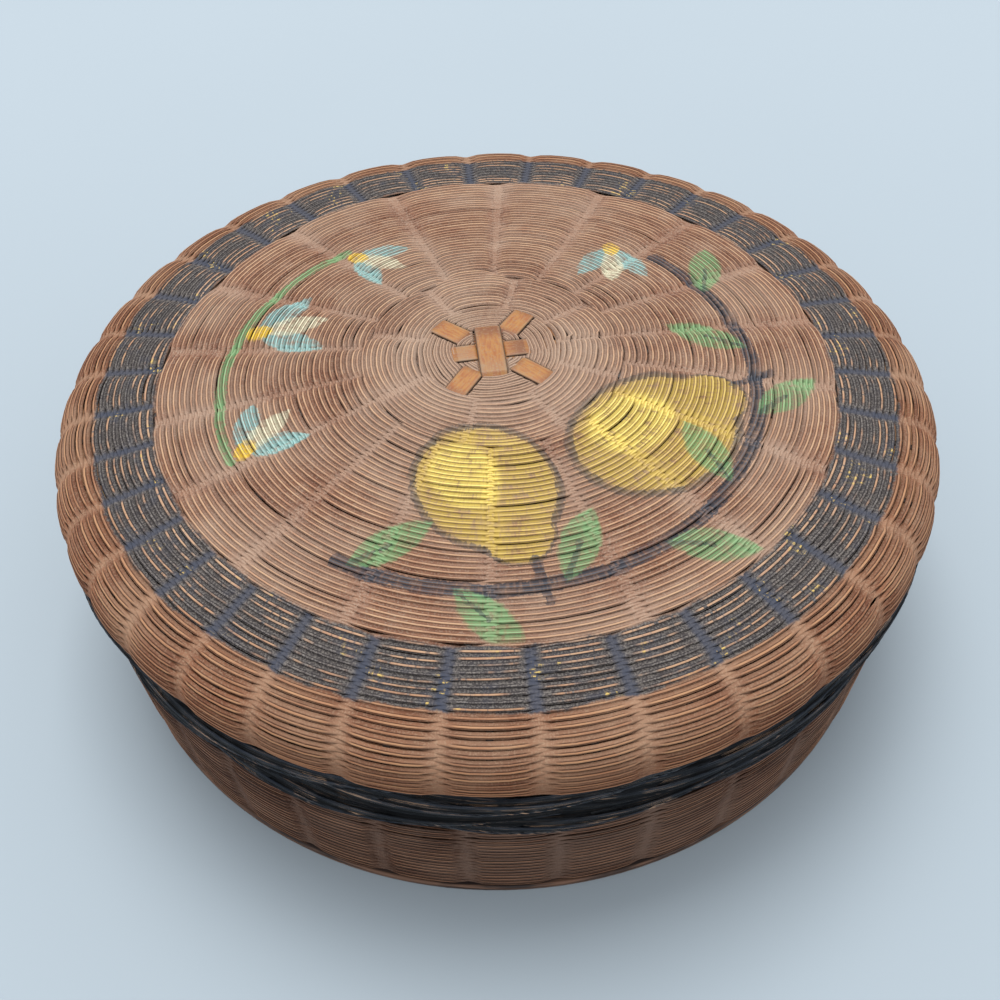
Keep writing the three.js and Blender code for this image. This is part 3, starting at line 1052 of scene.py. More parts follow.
class Split(Enum):
    """How often the slats of a zone are split, and how its rows pass them.

    Each has the number of splits, the roundness of the rows' waves, how unevenly the rows
    lie, in millimetres, and the least height of their ridge, as a share of the whole.
    """

    ENDS = (0, 2.2, 0.13, 0.45)
    HALVES = (1, 2.2, 0.11, 0.45)
    TINES = (2, 1.65, 0.07, 0.10)

    def __init__(self, count: int, roundness: float, unevenness: float, least_ridge: float) -> None:
        """Keeps the values.

        Args:
            count: The number of splits.
            roundness: The roundness of the waves.
            unevenness: How unevenly the rows lie.
            least_ridge: The least height of their ridge.
        """
        self.count = count
        self.roundness = roundness
        self.unevenness = unevenness
        self.least_ridge = least_ridge


def partner_slot(slot: int) -> int:
    """Gives the slot to which the second half of a slat end spreads."""
    return slot + 2 if 0 < slot <= HALF_TURN else slot - 2


def crest_slots(split: Split) -> list[int]:
    """Gives the slots of the slats in a zone.

    Args:
        split: How often the slats are split there.

    Returns:
        The slots in order: nine ends, eighteen halves or thirty-six tines.
    """
    slots = list(CENTRE_SLOTS)
    if split.count > 0:
        slots += [partner_slot(slot) % SLOT_COUNT for slot in CENTRE_SLOTS]
    if split.count > 1:
        slots += [(slot + 1) % SLOT_COUNT for slot in slots]
    return sorted(slots)


@dataclass(frozen=True)
class Strand:
    """The reed of the rows, in millimetres.

    The section has a place across, one outwards, and how near it is to the crest, for each
    corner. The swings are pairs of a place along the outline and how far the rows swing.
    The pairs that end in wave say over which part of a wave a strand changes.
    """

    width: float = 1.74
    thickness: float = 1.0
    bow: float = 0.42
    least_bow: float = 0.3
    bow_reach: float = 6.0
    hemmed_bow: float = 0.2
    narrowing: float = 0.36
    narrow_wave: Pair = (0.02, 0.45)
    inner_wave: Pair = (0.0, 0.6)
    ridge_wave: Pair = (0.05, 0.60)
    flat_breadth: float = 1.12
    flattening: float = 0.45
    flat_mark: float = 0.62
    hem: float = 1.1
    swings: tuple[Pair, ...] = (
        (0.0, 0.62), (34.0, 0.62), (44.0, 0.70), (94.0, 0.72),
        (106.0, 0.80), (134.0, 0.78), (142.0, 0.44),
    )
    section: tuple[tuple[float, float, float], ...] = (
        (1.0, 0.20, 0.0), (0.80, 0.50, 0.45), (0.64, 1.0, 1.0), (0.26, 1.0, 1.0),
        (0.06, 0.58, 0.45), (-1.0, 0.34, 0.0), (0.0, -1.0, -1.0),
    )

    def swing(self, u: Array) -> Array:
        """Gives how far the rows swing in and out at places along the outline."""
        places, sizes = zip(*self.swings)
        return np.interp(u, places, sizes)

    def middle_depth(self, u: Array) -> Array:
        """Gives the depth of the rows' middle line under the crest."""
        return self.swing(u) + self.thickness / 2


BASE_STRAND = Strand(
    narrowing=0.25,
    hem=0.7,
    swings=((0.0, 0.62), (34.0, 0.62), (44.0, 0.70), (94.0, 0.72), (108.0, 0.56)),
)


@dataclass(frozen=True)
class Gap:
    """A place where two rows stand apart, in millimetres and degrees, as hand-woven rows do."""

    u: float
    angle: float
    opening: float
    half_length: float

    def open(self, u: Array, angle: Array) -> Array:
        """Moves rows apart at this place.

        Args:
            u: The places of the rows.
            angle: Their angles.

        Returns:
            Their new places.
        """
        off = (angle - math.radians(self.angle) + math.pi) % (2 * math.pi) - math.pi
        near = np.exp(-((off * self.u / self.half_length) ** 2)) * np.exp(-np.abs(u - self.u) / 2.0)
        return u + np.where(u > self.u, 1.0, -1.0) * self.opening / 2 * near


LID_GAPS = tuple(Gap(*sizes) for sizes in (
    (20.0, 15.0, 0.9, 2.2), (24.5, 14.0, 1.1, 2.6), (33.0, 13.0, 0.9, 2.4), (40.5, 63.0, 0.9, 5.0),
    (41.5, 92.0, 0.8, 4.0), (34.0, 131.0, 0.7, 3.5), (24.0, 289.0, 0.9, 4.0), (85.0, 139.0, 0.8, 2.0),
    (74.0, 147.0, 0.6, 2.0), (128.0, 318.0, 1.1, 2.0), (22.0, 188.0, 0.7, 2.0), (30.0, 187.0, 0.6, 2.6),
    (30.5, 157.0, 0.9, 2.2), (31.0, 52.0, 0.9, 3.0), (36.0, 322.0, 0.7, 3.0), (10.8, 24.0, 1.0, 1.6),
    (28.0, 172.0, 0.8, 2.0), (47.0, 205.0, 0.7, 3.0), (58.0, 20.0, 0.7, 3.5), (52.0, 118.0, 0.6, 3.5),
    (118.0, 327.0, 1.0, 1.6),
))
BASE_GAPS = tuple(Gap(*sizes) for sizes in (
    (128.0, 268.0, 0.9, 9.0), (150.0, 275.0, 0.6, 7.0), (127.0, 296.0, 1.0, 11.0),
    (128.0, 238.0, 1.0, 13.0), (126.0, 214.0, 0.9, 12.0), (126.5, 325.0, 1.0, 14.0),
))


@dataclass
class RowZone:
    """A zone of rows that pass the same slats, in millimetres.

    The pitches are pairs of the end of a stretch and the distance of its rows. Crowding
    above 1 draws the rings of a cell to its middle, where the rows cross. The drifts are
    those of hand weaving, and fade over the even ends. Of the numbers drawn for a row, the
    last two are used.
    """

    name: str
    node: str
    outline: Outline
    strand: Strand
    start: float
    pitches: tuple[Pair, ...]
    split: Split
    steps: int
    seed: int
    gaps: tuple[Gap, ...] = ()
    breadth: float = 1.0
    inner_breadth: float = 1.0
    hem: float = 0.0
    hem_reach: float = 6.0
    crowding: float = 1.6
    wave_drift: float = 0.010
    row_drift: float = 0.24
    size_drift: float = 0.08
    even_ends: float = 4.0
    draws: int = 6

    @property
    def end(self) -> float:
        """The place where the zone ends."""
        return self.pitches[-1][0]

    def spacing(self) -> tuple[int, list[float], list[float]]:
        """Spaces the rows.

        Returns:
            The number of rows, and the row counts and places at the ends of the stretches.
        """
        rows, places = [0.0], [self.start]
        for end, pitch in self.pitches:
            rows.append(rows[-1] + (end - places[-1]) / pitch)
            places.append(end)
        rows[-1] = float(round(rows[-1]))
        return int(rows[-1]), rows, places

    def rings(self, cells: int, count: int) -> tuple[Array, Array]:
        """Gives where the rings of the strands are: on closed rows, or on one spiral.

        Args:
            cells: The number of cells between slats, odd for a spiral.
            count: The number of rows.

        Returns:
            The cells that the rings are at, counted on, and their rows.
        """
        even = 2.0 * np.arange(self.steps) / self.steps - 1.0
        within = 0.5 + 0.5 * np.sign(even) * np.abs(even) ** self.crowding
        if cells % 2:
            place = (np.arange(cells * count)[:, None] + within[None, :]).reshape(1, -1)
            return place, place / cells
        turn = (np.arange(cells)[:, None] + within[None, :]).reshape(1, -1)
        place = np.repeat(turn, count, axis=0)
        return place, np.arange(count)[:, None] + np.zeros_like(place)

    def build(self) -> Thing:
        """Builds the rows of the zone as one object.

        Returns:
            The rows.
        """
        slots = np.array(crest_slots(self.split), dtype=float)
        cells = len(slots)
        closed = cells % 2 == 0
        count, row_marks, u_marks = self.spacing()
        place, row = self.rings(cells, count)
        slot = np.interp(place % cells, np.arange(cells + 1), np.append(slots, slots[0] + SLOT_COUNT))
        angle = self.outline.slot_angle(slot)
        whole = np.minimum(row.astype(int), count)
        chance = np.random.default_rng(self.seed)
        *_, lift, size = chance.normal(0.0, 1.0, (count + 2, self.draws)).T
        shift = self.lean(chance, angle, row, self.wave_drift)
        phase = np.cos(math.pi * (place + (row if closed else 0.0) + shift))
        rise = np.clip((np.abs(phase) - CROSSING_SHARE) / (1.0 - CROSSING_SHARE), 0.0, 1.0)
        wave = np.sign(phase) * (1.0 - (1.0 - rise) ** self.split.roundness)
        u = np.interp(row + 0.5, row_marks, u_marks)
        inside = smooth(0.0, self.even_ends, u - self.start) * smooth(0.0, self.even_ends, self.end - u)
        drift = self.lean(chance, angle, row, self.row_drift)
        u = u + inside * drift + self.split.unevenness * lift[whole]
        wave, flatness = self.lay_flat(u, angle, wave)
        hemmed = smooth(self.end - self.hem_reach, self.end - 1.0, u) * (self.hem > 0)
        reed = self.strand
        begun = smooth(0.0, reed.bow_reach, u - self.start) if self.split is Split.TINES else 1.0
        bow = reed.bow * (reed.least_bow + (1.0 - reed.least_bow) * begun)
        u = u + bow * wave**2 * (1.0 - flatness) * (1.0 - (1.0 - reed.hemmed_bow) * hemmed)
        for gap in self.gaps:
            u = gap.open(u, angle)
        size = 1.0 + self.size_drift * size[whole]
        points, crest = self.cross_sections(u, angle, wave, flatness, hemmed, size)
        marks = {
            "crest": crest,
            "wave": np.maximum(np.abs(wave), reed.flat_mark * flatness)[..., None],
            "row": chance.random(count + 2)[whole][..., None],
        }
        return tube_object(self.name, self.outline.settle(points), closed, False, marks)

    def cross_sections(
        self, u: Array, angle: Array, wave: Array, flatness: Array, hemmed: Array, size: Array
    ) -> tuple[Array, Array]:
        """Gives the strands' rings, each a section of split reed.

        Args:
            u: The places of the rings along the outline.
            angle: Their angles.
            wave: How far they swing out, from -1 to 1.
            flatness: How flat they lie, from 0 to 1.
            hemmed: How far they tuck in behind the rope, from 0 to 1.
            size: The size of their row, as a share of the usual one.

        Returns:
            The points in millimetres, and how near a section's corners are to its crest.
        """
        reed = self.strand
        narrow = reed.narrowing * (1.0 - smooth(*reed.narrow_wave, np.abs(wave)))
        flat_width = reed.flat_breadth * FLAT_PITCH / reed.width
        narrow = narrow * (1.0 - flatness) + flatness * (1.0 - flat_width)
        half_width = reed.width / 2 * (1.0 - narrow) * size * self.breadth
        half_width = half_width * (1.0 + (self.inner_breadth - 1.0) * smooth(*reed.inner_wave, -wave))
        depth = reed.middle_depth(u) - reed.swing(u) * wave + self.hem * hemmed
        side, level, crest = (np.array(part) for part in zip(*reed.section))
        least = self.split.least_ridge
        full = smooth(*reed.ridge_wave, np.abs(wave)) * (1.0 - reed.flattening * flatness)
        ridge = least + (1.0 - least) * full
        level = np.where(level > 0.5, 0.5 + (level - 0.5) * ridge[..., None], level)
        across = u[..., None] + half_width[..., None] * side * self.outline.side.value
        into = depth[..., None] - reed.thickness / 2 * level
        radius, height = self.outline.point(across, into)
        cosine, sine = np.cos(angle)[..., None], np.sin(angle)[..., None]
        return np.stack([radius * cosine, radius * sine, height], axis=-1), crest

    def lean(self, chance: np.random.Generator, angle: Array, row: Array, amount: float) -> Array:
        """Gives a slow drift that neighbouring rows nearly share, as hand weaving has it.

        Args:
            chance: The zone's random numbers.
            angle: The angles of the places.
            row: The rows that they are in.
            amount: The usual size of the drift.

        Returns:
            The drift at each place.
        """
        drift = np.zeros_like(angle)
        for lobes in range(2, 12):
            turn, climb = chance.uniform(0.0, 2 * math.pi), chance.uniform(-0.5, 0.5)
            drift += chance.normal() / math.sqrt(lobes) * np.sin(lobes * angle + turn + climb * row)
        return amount * drift

    def lay_flat(self, u: Array, angle: Array, wave: Array) -> tuple[Array, Array]:
        """Lets the first rows lie flat, and under the slats where those show.

        Args:
            u: The places of the rows.
            angle: Their angles.
            wave: How far they would swing out.

        Returns:
            How far they swing out, and how flat they lie, from 0 to 1.
        """
        if self.split is not Split.ENDS:
            return wave, np.zeros_like(wave)
        flat = np.full_like(wave, FLAT_SWING)
        out, within = WINDOW_EDGE
        for slat in CROSSING_SLATS.values():
            for end in (slat.slot, slat.slot + HALF_TURN):
                heading = self.outline.slot_angle(end) + math.radians(slat.turn)
                off = np.abs(u * np.sin(angle - heading))
                ahead = np.cos(angle - heading) > 0
                near = smooth(slat.width / 2 + out, slat.width / 2 - within, off) * ahead
                along = u * np.cos(angle - heading)
                inside = smooth(slat.start - WINDOW_END, slat.start + WINDOW_END, along)
                under = near * inside * smooth(slat.end + WINDOW_END, slat.end - WINDOW_END, along)
                flat = flat * (1.0 - under) - under
        share = smooth(FLAT_END - FLAT_FADE[0], FLAT_END + FLAT_FADE[1], u)
        return flat * (1.0 - share) + wave * share, 1.0 - share


# Slats

@dataclass(frozen=True)
class Fork:
    """A slit at a slat's end: where it starts, how far its two arms spread, and their rings."""

    start: float
    spread: float
    arm_width: float
    spread_rings: int
    straight_rings: int


FIRST_FORK = Fork(24.0, 18.0, SLAT_WIDTH / 2, 10, 8)
SECOND_FORK = Fork(84.0, 24.0, SLAT_WIDTH / 4, 8, 14)


def join_pieces(name: str, parts: list[Thing]) -> Thing:
    """Joins several objects into one.

    Args:
        name: The name of the joined object.
        parts: The objects to join.

    Returns:
        The joined object.
    """
    deselect()
    for part in parts:
        part.select_set(True)
    bpy.context.view_layer.objects.active = parts[0]
    bpy.ops.object.join()
    parts[0].name = name
    parts[0].data.name = name
    return parts[0]


@dataclass
class Slat:
    """A bamboo slat that crosses the middle, with its halves and tines, as ribbons in the weave.

    It comes up to the top over its rise and goes down again over its fall. After its window,
    its turn and its width go back to the plain ones over the two lengths of its release.
    """

    name: str
    outline: Outline
    strand: Strand
    shown: Shown
    layer: int = 0
    crossing_depth: float = 0.35
    layer_step: float = 0.55
    crossing_reach: Pair = (2.0, 5.0)
    rise: Pair = (0.9, 0.3)
    fall: float = 2.2
    release: Pair = (0.5, 3.0)
    chamfer: float = 0.18
    tuck_reach: float = 5.5
    rings: int = 99

    def level(self, u: Array) -> Array:
        """Gives how deep the slat lies: on top where it shows, between the rows elsewhere.

        Args:
            u: The places along the outline.

        Returns:
            The depths of its middle under the crest.
        """
        inner = self.strand.middle_depth(u)
        crossing = self.crossing_depth + self.layer_step * self.layer
        inner = inner + (crossing - inner) * (1.0 - smooth(*self.crossing_reach, u)) * (self.layer > 0)
        start, end = self.shown.start, self.shown.end
        share = smooth(start - self.rise[0], start + self.rise[1], u) * smooth(end + self.fall, end, u)
        tucked = self.strand.hem * smooth(self.outline.length - self.tuck_reach, self.outline.length, u)
        return self.shown.depth * share + inner * (1.0 - share) + tucked

    def ribbon(self, angles: Array, us: Array, acrosses: Array, width: float) -> Array:
        """Gives the rings of a flat ribbon with chamfered edges.

        Args:
            angles: The angle at each ring.
            us: The place along the outline at each ring.
            acrosses: The shift of the ribbon sideways at each ring.
            width: The ribbon's width.

        Returns:
            The rings' points in millimetres, in one tube.
        """
        half, thick, cut = width / 2, SLAT_THICKNESS / 2, self.chamfer
        section = [
            (-half, -thick + cut), (-half + cut, -thick), (half - cut, -thick), (half, -thick + cut),
            (half, thick - cut), (half - cut, thick), (-half + cut, thick), (-half, thick - cut),
        ]
        side, out = (np.array(part) for part in zip(*section))
        depth = self.level(us)[:, None] - out[None, :]
        radius, height = self.outline.point(us[:, None] + 0.0 * depth, depth)
        across = acrosses[:, None] + side[None, :]
        x = radius * np.cos(angles)[:, None] - across * np.sin(angles)[:, None]
        y = radius * np.sin(angles)[:, None] + across * np.cos(angles)[:, None]
        return np.stack([x, y, height], axis=-1)[None]

    def part(self, points: Array, width: float, along: Array) -> Thing:
        """Makes one ribbon an object, with marks across it and along it.

        Args:
            points: The ribbon's points in millimetres.
            width: Its width, which tells its grain from that of other ribbons.
            along: The place along the slat at each ring, from the crossing.

        Returns:
            The object.
        """
        share = np.array([-1.0, -0.9, 0.9, 1.0, 1.0, 0.9, -0.9, -1.0])
        marks = {"across": share, "grain": share + width, "along": along[:, None]}
        flip = self.outline.side is Side.UP
        return tube_object(self.name + "_part", self.outline.settle(points), False, flip, marks)

    def arm(self, fork: Fork, side: float, slot: int, angle: float, end: float) -> tuple[Thing, float]:
        """Makes one arm of a fork.

        Args:
            fork: The fork.
            side: The side that it is on, -1 or 1.
            slot: The slot that it spreads to.
            angle: The angle of the slat where the fork starts.
            end: Where the arm ends.

        Returns:
            The arm, and the angle that it ends at.
        """
        spread_end = fork.start + fork.spread
        us = np.concatenate([
            np.linspace(fork.start - 0.5, spread_end, fork.spread_rings),
            np.linspace(spread_end, end, fork.straight_rings)[1:],
        ])
        share = smooth(fork.start, spread_end, us)
        target = float(self.outline.slot_angle(slot))
        target += 2 * math.pi * round((angle - target) / (2 * math.pi))
        angles = angle * (1.0 - share) + target * share
        width = fork.arm_width - SLIT_WIDTH
        points = self.ribbon(angles, us, side * fork.arm_width / 2 * (1.0 - share), width)
        return self.part(points, width, us), target

    def end_parts(self, slot: int, angle: float) -> list[Thing]:
        """Makes the halves and tines of one end, down to the border.

        Args:
            slot: The slot that the end lies in.
            angle: The angle of the slat where it is slit.

        Returns:
            The ribbons' objects.
        """
        parts = []
        for side, half_slot in zip((-1.0, 1.0), sorted((slot, partner_slot(slot)))):
            half, half_angle = self.arm(FIRST_FORK, side, half_slot, angle, SECOND_FORK.start)
            parts.append(half)
            for tine_side, tine_slot in zip((-1.0, 1.0), (half_slot, half_slot + 1)):
                tine, _ = self.arm(SECOND_FORK, tine_side, tine_slot, half_angle, self.outline.length)
                parts.append(tine)
        return parts

    def build(self) -> Thing:
        """Builds the whole slat.

        Returns:
            The slat.
        """
        reach = FIRST_FORK.start + 0.5
        along = np.linspace(-reach, reach, self.rings)
        parts = [self.part(self.through(along), 0.0, along)]
        for end in (self.shown.slot, self.shown.slot + HALF_TURN):
            parts += self.end_parts(end, float(self.outline.slot_angle(end)))
        return join_pieces(self.name, parts)

    def through(self, along: Array) -> Array:
        """Gives the rings of the ribbon that runs through the middle, turned where it shows.

        Args:
            along: The places of the rings, from the crossing.

        Returns:
            The rings' points in millimetres, in one tube.
        """
        us, shown = np.abs(along), self.shown
        near = float(self.outline.slot_angle(shown.slot))
        far = float(self.outline.slot_angle(shown.slot + HALF_TURN)) - math.pi
        release = smooth(shown.end + self.release[0], FIRST_FORK.start, us)
        shown_angle = (near + far) / 2 + math.radians(shown.turn)
        angles = shown_angle * (1.0 - release) + np.where(along < 0, far, near) * release
        wide = smooth(shown.end + self.release[1], shown.end, us)
        widths = SLAT_WIDTH + (shown.width - SLAT_WIDTH) * wide
        unit_width = 2.0
        flat = self.ribbon(np.zeros_like(us), us, np.zeros_like(us), unit_width)[0]
        ahead = np.where(along[:, None] < 0, -flat[..., 0], flat[..., 0])
        across = flat[..., 1] * widths[:, None] / unit_width
        cosine, sine = np.cos(angles)[:, None], np.sin(angles)[:, None]
        x, y = ahead * cosine - across * sine, ahead * sine + across * cosine
        return np.stack([x, y, flat[..., 2]], axis=-1)[None]


@dataclass
class AddedSlat(Slat):
    """The ninth slat, with one end, pushed in beside the cross slat."""

    start: float = 20.0

    def build(self) -> Thing:
        """Builds the added slat.

        Returns:
            The slat.
        """
        angle = math.radians(ADDED_SLAT_ANGLE + self.outline.turn)
        us = np.linspace(self.start, FIRST_FORK.start + 0.5, 5)
        points = self.ribbon(np.full_like(us, angle), us, np.zeros_like(us), SLAT_WIDTH)
        parts = [self.part(points, SLAT_WIDTH, us), *self.end_parts(self.shown.slot, angle)]
        return join_pieces(self.name, parts)


# Borders

@dataclass
class Border:
    """A rope border of three strands on a rim, each strand a bundle of flat splints.

    Each splint swells from its crease. The ripple moves a strand a little off its way. The
    seam shade is painted shade: the strands darken towards the seam between the two ropes.
    """

    body: Body
    outer_radius: float
    width: float
    bottom: float
    height: float
    phase: float
    steps: int = 288
    sides: int = 54
    splints: int = 6
    ripple: float = 0.12
    ripple_share: float = 0.3
    crease_share: float = 0.14
    crease_slope: float = 0.8
    least_swell: float = 0.62
    swell: float = 0.42
    seam_shade_reach: Pair = (5.6, 3.4)
    seam_shade_ripple: float = 1.5
    core_shade: float = 0.7
    grain_step: float = 3.0

    def strand(self, index: int) -> Thing:
        """Builds one strand of the rope; the first holds the rope's core too.

        Args:
            index: Which strand it is, from 0.

        Returns:
            The strand.
        """
        half_width, half_height = self.width / 2, self.height / 2
        bar_width = half_width * (1 - WIND) - STRAND_CLEARANCE
        bar_height = half_height * (1 - WIND) - STRAND_CLEARANCE
        chance = np.random.default_rng(SEED + 31 * index + int(self.bottom))
        angle = 2 * math.pi * np.arange(self.steps) / self.steps
        lay = TWIST_COUNT * angle + self.phase + 2 * math.pi * index / STRAND_COUNT
        ripple = sum(
            self.ripple * chance.normal() * np.sin(lobes * angle + chance.uniform(0, 6.28))
            for lobes in range(3, 12)
        )
        radius = self.outer_radius - half_width + half_width * WIND * np.cos(lay)
        radius = radius - np.abs(ripple) * self.ripple_share
        height = self.bottom + half_height + half_height * WIND * np.sin(lay)
        height = height + ripple * self.ripple_share
        turn = 2 * math.pi * np.arange(self.sides) / self.sides
        roll = turn[None, :] - lay[:, None]
        edge = (roll * self.splints / (2 * math.pi)) % 1.0
        crease = smooth(0.0, self.crease_share, edge) * (1.0 - self.crease_slope * edge)
        swell = self.least_swell + self.swell * crease
        ring_radius = radius[:, None] + bar_width * swell * np.cos(turn)[None, :]
        ring_height = height[:, None] - bar_height * swell * np.sin(turn)[None, :]
        # Painted shade: the strands darken near the seam between the ropes, and the core is always
        # partly darkened.
        seam = self.bottom + (self.height if self.body is Body.BASE else 0.0)
        from_seam = np.abs(ring_height - seam) + self.seam_shade_ripple * ripple[:, None]
        seam_shade = smooth(*self.seam_shade_reach, from_seam)
        tubes, seam_shades = [(ring_radius, ring_height)], [seam_shade]
        if index == 0:
            core_radius = self.outer_radius - half_width * (1.0 - CORE_SHARE * swell * np.cos(turn))
            core_height = self.bottom + half_height * (1.0 - CORE_SHARE * swell * np.sin(turn))
            tubes.append((core_radius, core_height))
            seam_shades.append(np.maximum(seam_shade, self.core_shade))
        cosine, sine = np.cos(angle)[:, None], np.sin(angle)[:, None]
        points = np.stack([np.stack([out * cosine, out * sine, up], axis=-1) for out, up in tubes])
        marks = {
            "ridge": crease,
            "seam_shade": np.stack(seam_shades),
            "roll_x": np.cos(roll),
            "roll_y": np.sin(roll) + self.grain_step * index,
        }
        return tube_object(f"{self.body.value}_border_{index + 1}", points * MM, True, True, marks)


def border_for(body: Body) -> Border:
    """Gives the sizes of a border from the boxes of its CAD strands.

    Args:
        body: The body whose rim it is on.

    Returns:
        The border.
    """
    boxes = [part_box(f"{body.value}_border_strand_{i + 1}") for i in range(STRAND_COUNT)]
    bottom = min(low[2] for low, _ in boxes) / MM - STRAND_CLEARANCE
    top = max(high[2] for _, high in boxes) / MM + STRAND_CLEARANCE
    offset = (BORDER_OUTER["lid"] - BORDER_OUTER["base"]) / 2
    lean = math.asin(offset / (WIND * BORDER_WIDTH / 2))
    if body is Body.BASE:
        bottom -= BORDER_COVER
        quarter = math.pi / 2
    else:
        top += BORDER_COVER
        quarter = -math.pi / 2
    return Border(body, BORDER_OUTER[body.value], BORDER_WIDTH, bottom, top - bottom, quarter - lean)


# Hoops

@dataclass
class Hoop:
    """A bamboo hoop, drawn as a ring and turned into a rounded band by edit-mode operators."""

    name: str
    node: str
    finish: HoopFinish
    thickness: float
    rounding: float
    inset: float = 0.0
    segments: int = 144

    def build(self) -> None:
        """Builds the hoop: a circle widened inwards, extruded up and bevelled."""
        low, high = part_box(self.node)
        outer = high[0] - self.inset * MM
        deselect()
        bpy.ops.mesh.primitive_circle_add(
            vertices=self.segments, radius=outer, fill_type="NOTHING", location=(0.0, 0.0, low[2])
        )
        hoop = bpy.context.active_object
        hoop.name = self.name
        bpy.ops.object.mode_set(mode="EDIT")
        bpy.ops.mesh.select_all(action="SELECT")
        inner_scale = (outer - self.thickness * MM) / outer
        bpy.ops.mesh.extrude_region_move()
        bpy.ops.transform.resize(value=(inner_scale, inner_scale, 1.0))
        bpy.ops.mesh.select_all(action="SELECT")
        bpy.ops.mesh.extrude_region_move(
            TRANSFORM_OT_translate={"value": (0.0, 0.0, high[2] - low[2])}
        )
        bpy.ops.mesh.select_all(action="SELECT")
        bpy.ops.mesh.normals_make_consistent(inside=False)
        bpy.ops.object.mode_set(mode="OBJECT")
        bpy.ops.object.transform_apply(location=True, rotation=True, scale=True)
        bevel = hoop.modifiers.new("rounding", "BEVEL")
        bevel.width = self.rounding * MM
        bevel.segments = 3
        bevel.limit_method = "ANGLE"
        bpy.ops.object.modifier_apply(modifier=bevel.name)
        bpy.ops.object.shade_smooth_by_angle(angle=math.radians(50))
        finish_piece(hoop, Body.BASE, "hoops", self.finish.build(), self.node)


# The two halves of the basket

@dataclass
class Half:
    """One half of the basket: its rows, slats and border."""

    body: Body
    outline: Outline
    rows: Material
    slats: Material
    border: Material
    strand: Strand = Strand()

    def zones(self) -> list[RowZone]:
        """Gives the zones of rows."""
        raise NotImplementedError

    def zone(self, rows: str, weave: str, *sizes: object, **more: object) -> RowZone:
        """Gives a zone of this half, from the names of its rows and its CAD weave, and its sizes."""
        name, node = f"{self.body.value}_{rows}_rows", f"{self.body.value}_{weave}_weave"
        return RowZone(name, node, self.outline, self.strand, *sizes, **more)

    def build(self) -> None:
        """Builds every piece of this half."""
        prefix = self.body.value
        for zone in self.zones():
            finish_piece(zone.build(), self.body, f"{prefix}_rows", self.rows, zone.node)
        for layer, (name, shown) in enumerate(CROSSING_SLATS.items()):
            node = f"{prefix}_{name}"
            slat = Slat(f"{node}_splint", self.outline, self.strand, shown, layer)
            finish_piece(slat.build(), self.body, "slats", self.slats, node)
        node = f"{prefix}_added_slat"
        added = AddedSlat(f"{node}_splint", self.outline, self.strand, Shown(ADDED_SLOT, 0.0, 0.0, 0.0))
        finish_piece(added.build(), self.body, "slats", self.slats, node)
        rope = border_for(self.body)
        for index in range(STRAND_COUNT):
            node = f"{prefix}_border_strand_{index + 1}"
            finish_piece(rope.strand(index), self.body, "border", self.border, node)


@dataclass
class Lid(Half):
    """The domed lid."""

    def zones(self) -> list[RowZone]:
        """Gives the lid's zones of rows.

        Returns:
            The zones.
        """
        top, rim = ((FIELD_END, 0.83),), ((116.0, 0.93), (self.outline.length + 0.6, 1.08))
        return [
            self.zone("centre", "centre", CENTRE_START, CENTRE_PITCHES, Split.ENDS, 16, SEED, LID_GAPS),
            self.zone("top", "top", CENTRE_END, top, Split.HALVES, 9, SEED + 1, LID_GAPS),
            self.zone(
                "rim", "rim", FIELD_END, rim, Split.TINES, 8, SEED + 2, LID_GAPS,
                breadth=1.12, inner_breadth=1.13, hem=self.strand.hem,
            ),
        ]


@dataclass
class Base(Half):
    """The base, whose corner and wall are woven flatter than the lid's rim."""

    strand: Strand = BASE_STRAND

    def zones(self) -> list[RowZone]:
        """Gives the base's zones of rows.

        Returns:
            The zones.
        """
        turn = self.outline.edge_radius
        floor, edge, wall = ((FIELD_END, 0.82),), ((turn, 0.9),), ((self.outline.length + 1.2, 1.03),)
        return [
            self.zone("centre", "centre", CENTRE_START, CENTRE_PITCHES, Split.ENDS, 12, SEED + 3),
            self.zone("floor", "floor", CENTRE_END, floor, Split.HALVES, 7, SEED + 4),
            self.zone("edge", "wall", FIELD_END, edge, Split.TINES, 6, SEED + 5),
            self.zone(
                "wall", "wall", turn, wall, Split.TINES, 8, SEED + 6, BASE_GAPS,
                breadth=0.90, inner_breadth=1.3, hem=self.strand.hem, hem_reach=9.0,
            ),
        ]


# Scene

